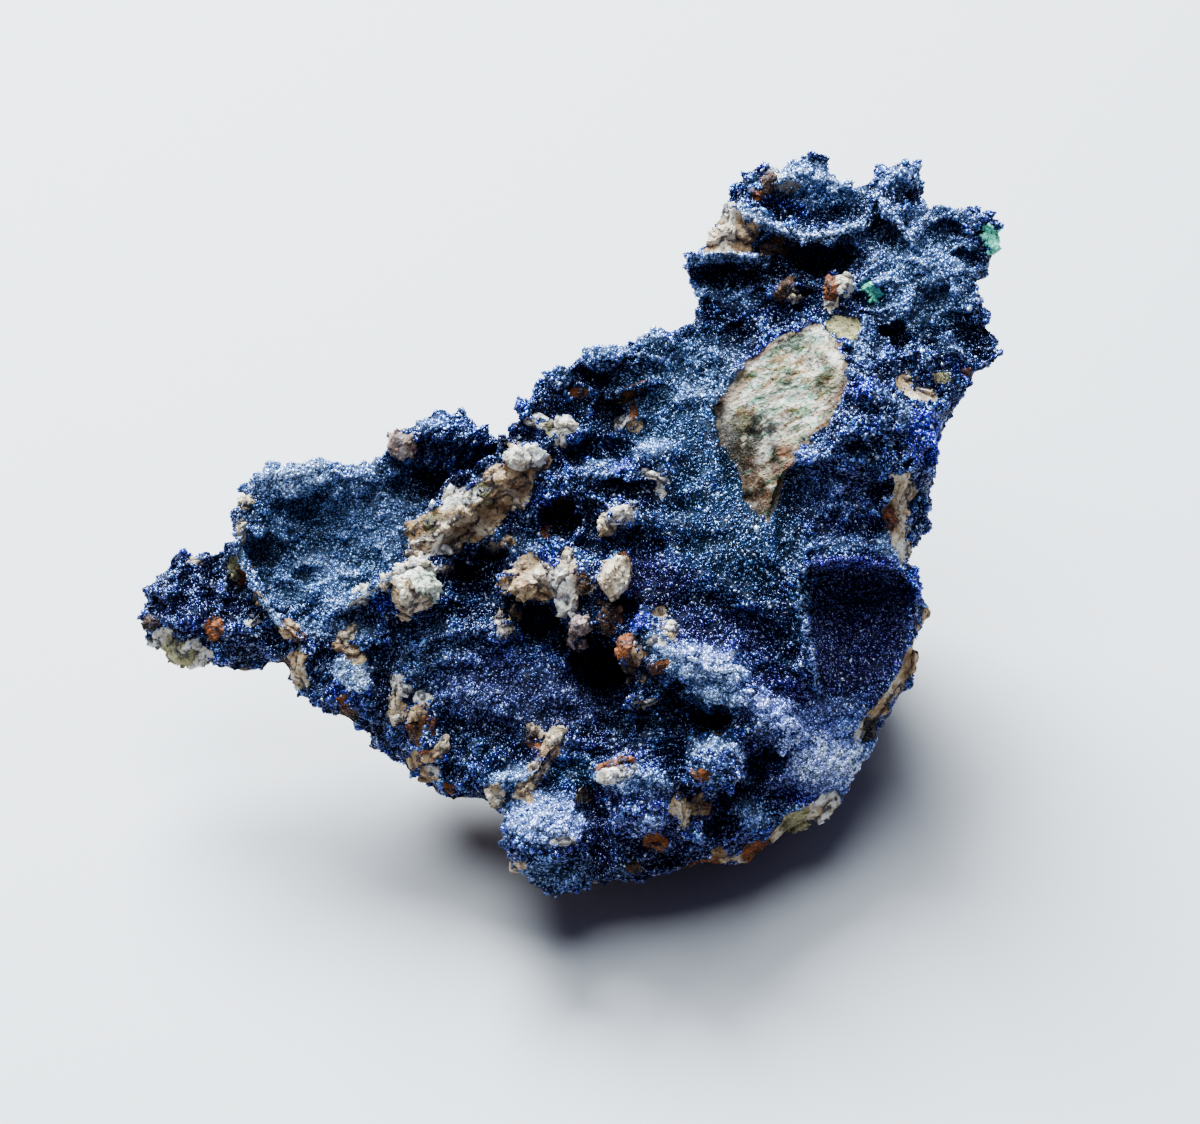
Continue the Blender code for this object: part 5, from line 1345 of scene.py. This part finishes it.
# ---------------------------------------------------------------- materials
def rock_grain(shader, colour):
    """Host rock: the stain broken up by fine grains, pale specks and dark pores."""
    grain = shader.noise(0.35, 4.0, 0.7)
    specks = shader.noise(0.16, 2.0).span(0.58, 0.72)
    pores = shader.noise(0.45, 3.0, 0.6).span(0.44, 0.32)
    colour = shader.mix(grain.span(0.3, 0.7) * 0.6, colour, (0.30, 0.22, 0.15, 1.0), "SOFT_LIGHT")
    colour = shader.mix(specks * 0.35, colour, (0.85, 0.80, 0.70, 1.0))
    colour = shader.mix(pores * 0.55, colour, (0.09, 0.06, 0.04, 1.0))
    relief = grain * 0.7 + shader.noise(0.9, 3.0) * 0.3 + shader.cells(0.45) * 0.4 - pores * 0.5
    return colour, relief


def broken_face(shader, rock):
    """The fresh face: pale rock with slanting brown streaks, grey-green clots and green flecks."""
    sockets = {"Vector": shader.place(), "Rotation": FACE_TURN, "Scale": FACE_STRETCH}
    turned = shader.node("ShaderNodeMapping", {}, sockets)
    fresh = rock
    for size, low, high, tone in FACE_STAINS:
        sockets = {"Vector": turned, "Scale": 1.0 / (size * MM), "Detail": 5.0, "Roughness": 0.6}
        blotches = shader.node("ShaderNodeTexNoise", {}, sockets)
        fresh = shader.mix(blotches.span(low, high), fresh, (*tone, 1.0), "MULTIPLY")
    return shader.mix(shader.attribute("face").span(0.2, 0.7), rock, fresh)


def block_material():
    shader = Shader("host rock")
    colour, relief = rock_grain(shader, shader.attribute("rock_colour", 0))
    rough = 0.72 - shader.noise(0.3, 2.0).span(0.5, 0.75) * 0.4
    shader.principled.inputs["IOR"].default_value = 1.4
    return shader.finish(Base_Color=colour, Roughness=rough, Normal=shader.bump(relief, 0.8, 0.3))


def body_material():
    """Rock where it is bare, and near-black blue between the crystals where it is coated: painted shade of
    the gaps, lighter where painted highlights lie.
    """
    shader = Shader("rock and coat")
    rock, relief = rock_grain(shader, shader.attribute("rock_colour", 0))
    coat = shader.attribute("coat")
    blue_noise = shader.noise(0.2, 3.0, 0.7)
    # painted shade between the crystals: the stored colour, already darkened, is mixed with near black
    blue = shader.mix(blue_noise.span(0.35, 0.6), (*screen(5, 5, 20), 1.0), shader.attribute("tint_and_painted_light", 0))
    rock = broken_face(shader, rock)
    edge = (coat + (shader.noise(0.4, 2.0) - 0.5) * 0.3).span(0.4, 0.6)
    colour = shader.mix(edge, rock, blue)
    rough = 0.8 - edge * 0.5
    shader.principled.inputs["IOR"].default_value = 1.3
    height = relief * (1.0 - edge) + edge * blue_noise * 2.0
    return shader.finish(Base_Color=colour, Roughness=rough, Normal=shader.bump(height, 1.0, 0.4))


def crystal_material():
    shader = Shader("azurite crystal")
    tint_and_painted_light = shader.attribute("tint_and_painted_light", 0)
    gloss = shader.attribute("gloss")
    cloudy = shader.noise(0.25, 2.0).span(0.3, 0.7)
    colour = shader.mix(cloudy * 0.3, tint_and_painted_light, (*screen(22, 26, 84), 1.0))
    rough = 0.08 + gloss * 0.24
    shader.principled.inputs["IOR"].default_value = 2.3
    shader.principled.inputs["Specular Tint"].default_value = (0.70, 0.80, 1.0, 1.0)
    return shader.finish(Base_Color=colour, Roughness=rough, Metallic=0.4)


def malachite_material():
    shader = Shader("malachite")
    rough = 0.35 + shader.attribute("gloss") * 0.3
    shader.principled.inputs["IOR"].default_value = 1.8
    return shader.finish(Base_Color=shader.attribute("tint_and_painted_light", 0), Roughness=rough)


# ---------------------------------------------------------------- stage
def set_stage():
    bm = bmesh.new()
    bmesh.ops.create_grid(bm, x_segments=1, y_segments=1, size=FLOOR_HALF)
    mesh = bpy.data.meshes.new("floor")
    bm.to_mesh(mesh)
    bm.free()
    floor = new_object("floor", mesh)
    shader = Shader("floor")
    mesh.materials.append(shader.finish(Base_Color=FLOOR_COLOUR, Roughness=0.6))


def set_lights():
    world = bpy.data.worlds.new("studio")
    bpy.context.scene.world = world
    world.use_nodes = True
    sky = world.node_tree.nodes["Background"]
    sky.inputs["Color"].default_value = SKY_COLOUR
    sky.inputs["Strength"].default_value = SKY_STRENGTH
    for name, place, size, power in LAMPS:
        lamp = bpy.data.lights.new(name, "AREA")
        lamp.shape = "DISK"
        lamp.size = size
        lamp.energy = power
        lamp.color = LAMP_COLOUR
        item = bpy.data.objects.new(name, lamp)
        bpy.context.scene.collection.objects.link(item)
        item.location = place
        item.rotation_euler = (TARGET * MM - Vector(place)).to_track_quat("-Z", "Y").to_euler()


def set_camera():
    camera = bpy.data.cameras.new("camera")
    camera.lens = LENS
    camera.sensor_width = SENSOR
    camera.clip_start = 0.01
    item = bpy.data.objects.new("camera", camera)
    bpy.context.scene.collection.objects.link(item)
    item.location = EYE * MM
    item.rotation_euler = FORWARD.to_track_quat("-Z", "Y").to_euler()
    bpy.context.scene.camera = item


# ---------------------------------------------------------------- assembly
def seat(piece, material):
    piece.data.materials.clear()
    piece.data.materials.append(material)
    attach(piece, "root")
    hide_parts(NODE)


bpy.context.scene.view_settings.look = "AgX - Medium High Contrast"
set_camera()
set_lights()
set_stage()
body, coat_here, calm_here, raised_here = shape_body()
body_tree = tree_of(body.data)
crystal = crystal_material()
for sheet in grow_coat(body, coat_here, calm_here, raised_here, body_tree):
    seat(sheet, crystal)
seat(grow_malachite(body, body_tree), malachite_material())
blocks = set_blocks(body_tree)
host_rock = block_material()
seat(set_grains(blocks), host_rock)
write_points(blocks.data, read_points(blocks.data) * MM)
seat(blocks, host_rock)
write_points(body.data, read_points(body.data) * MM)
body.data.shade_smooth()
seat(body, body_material())
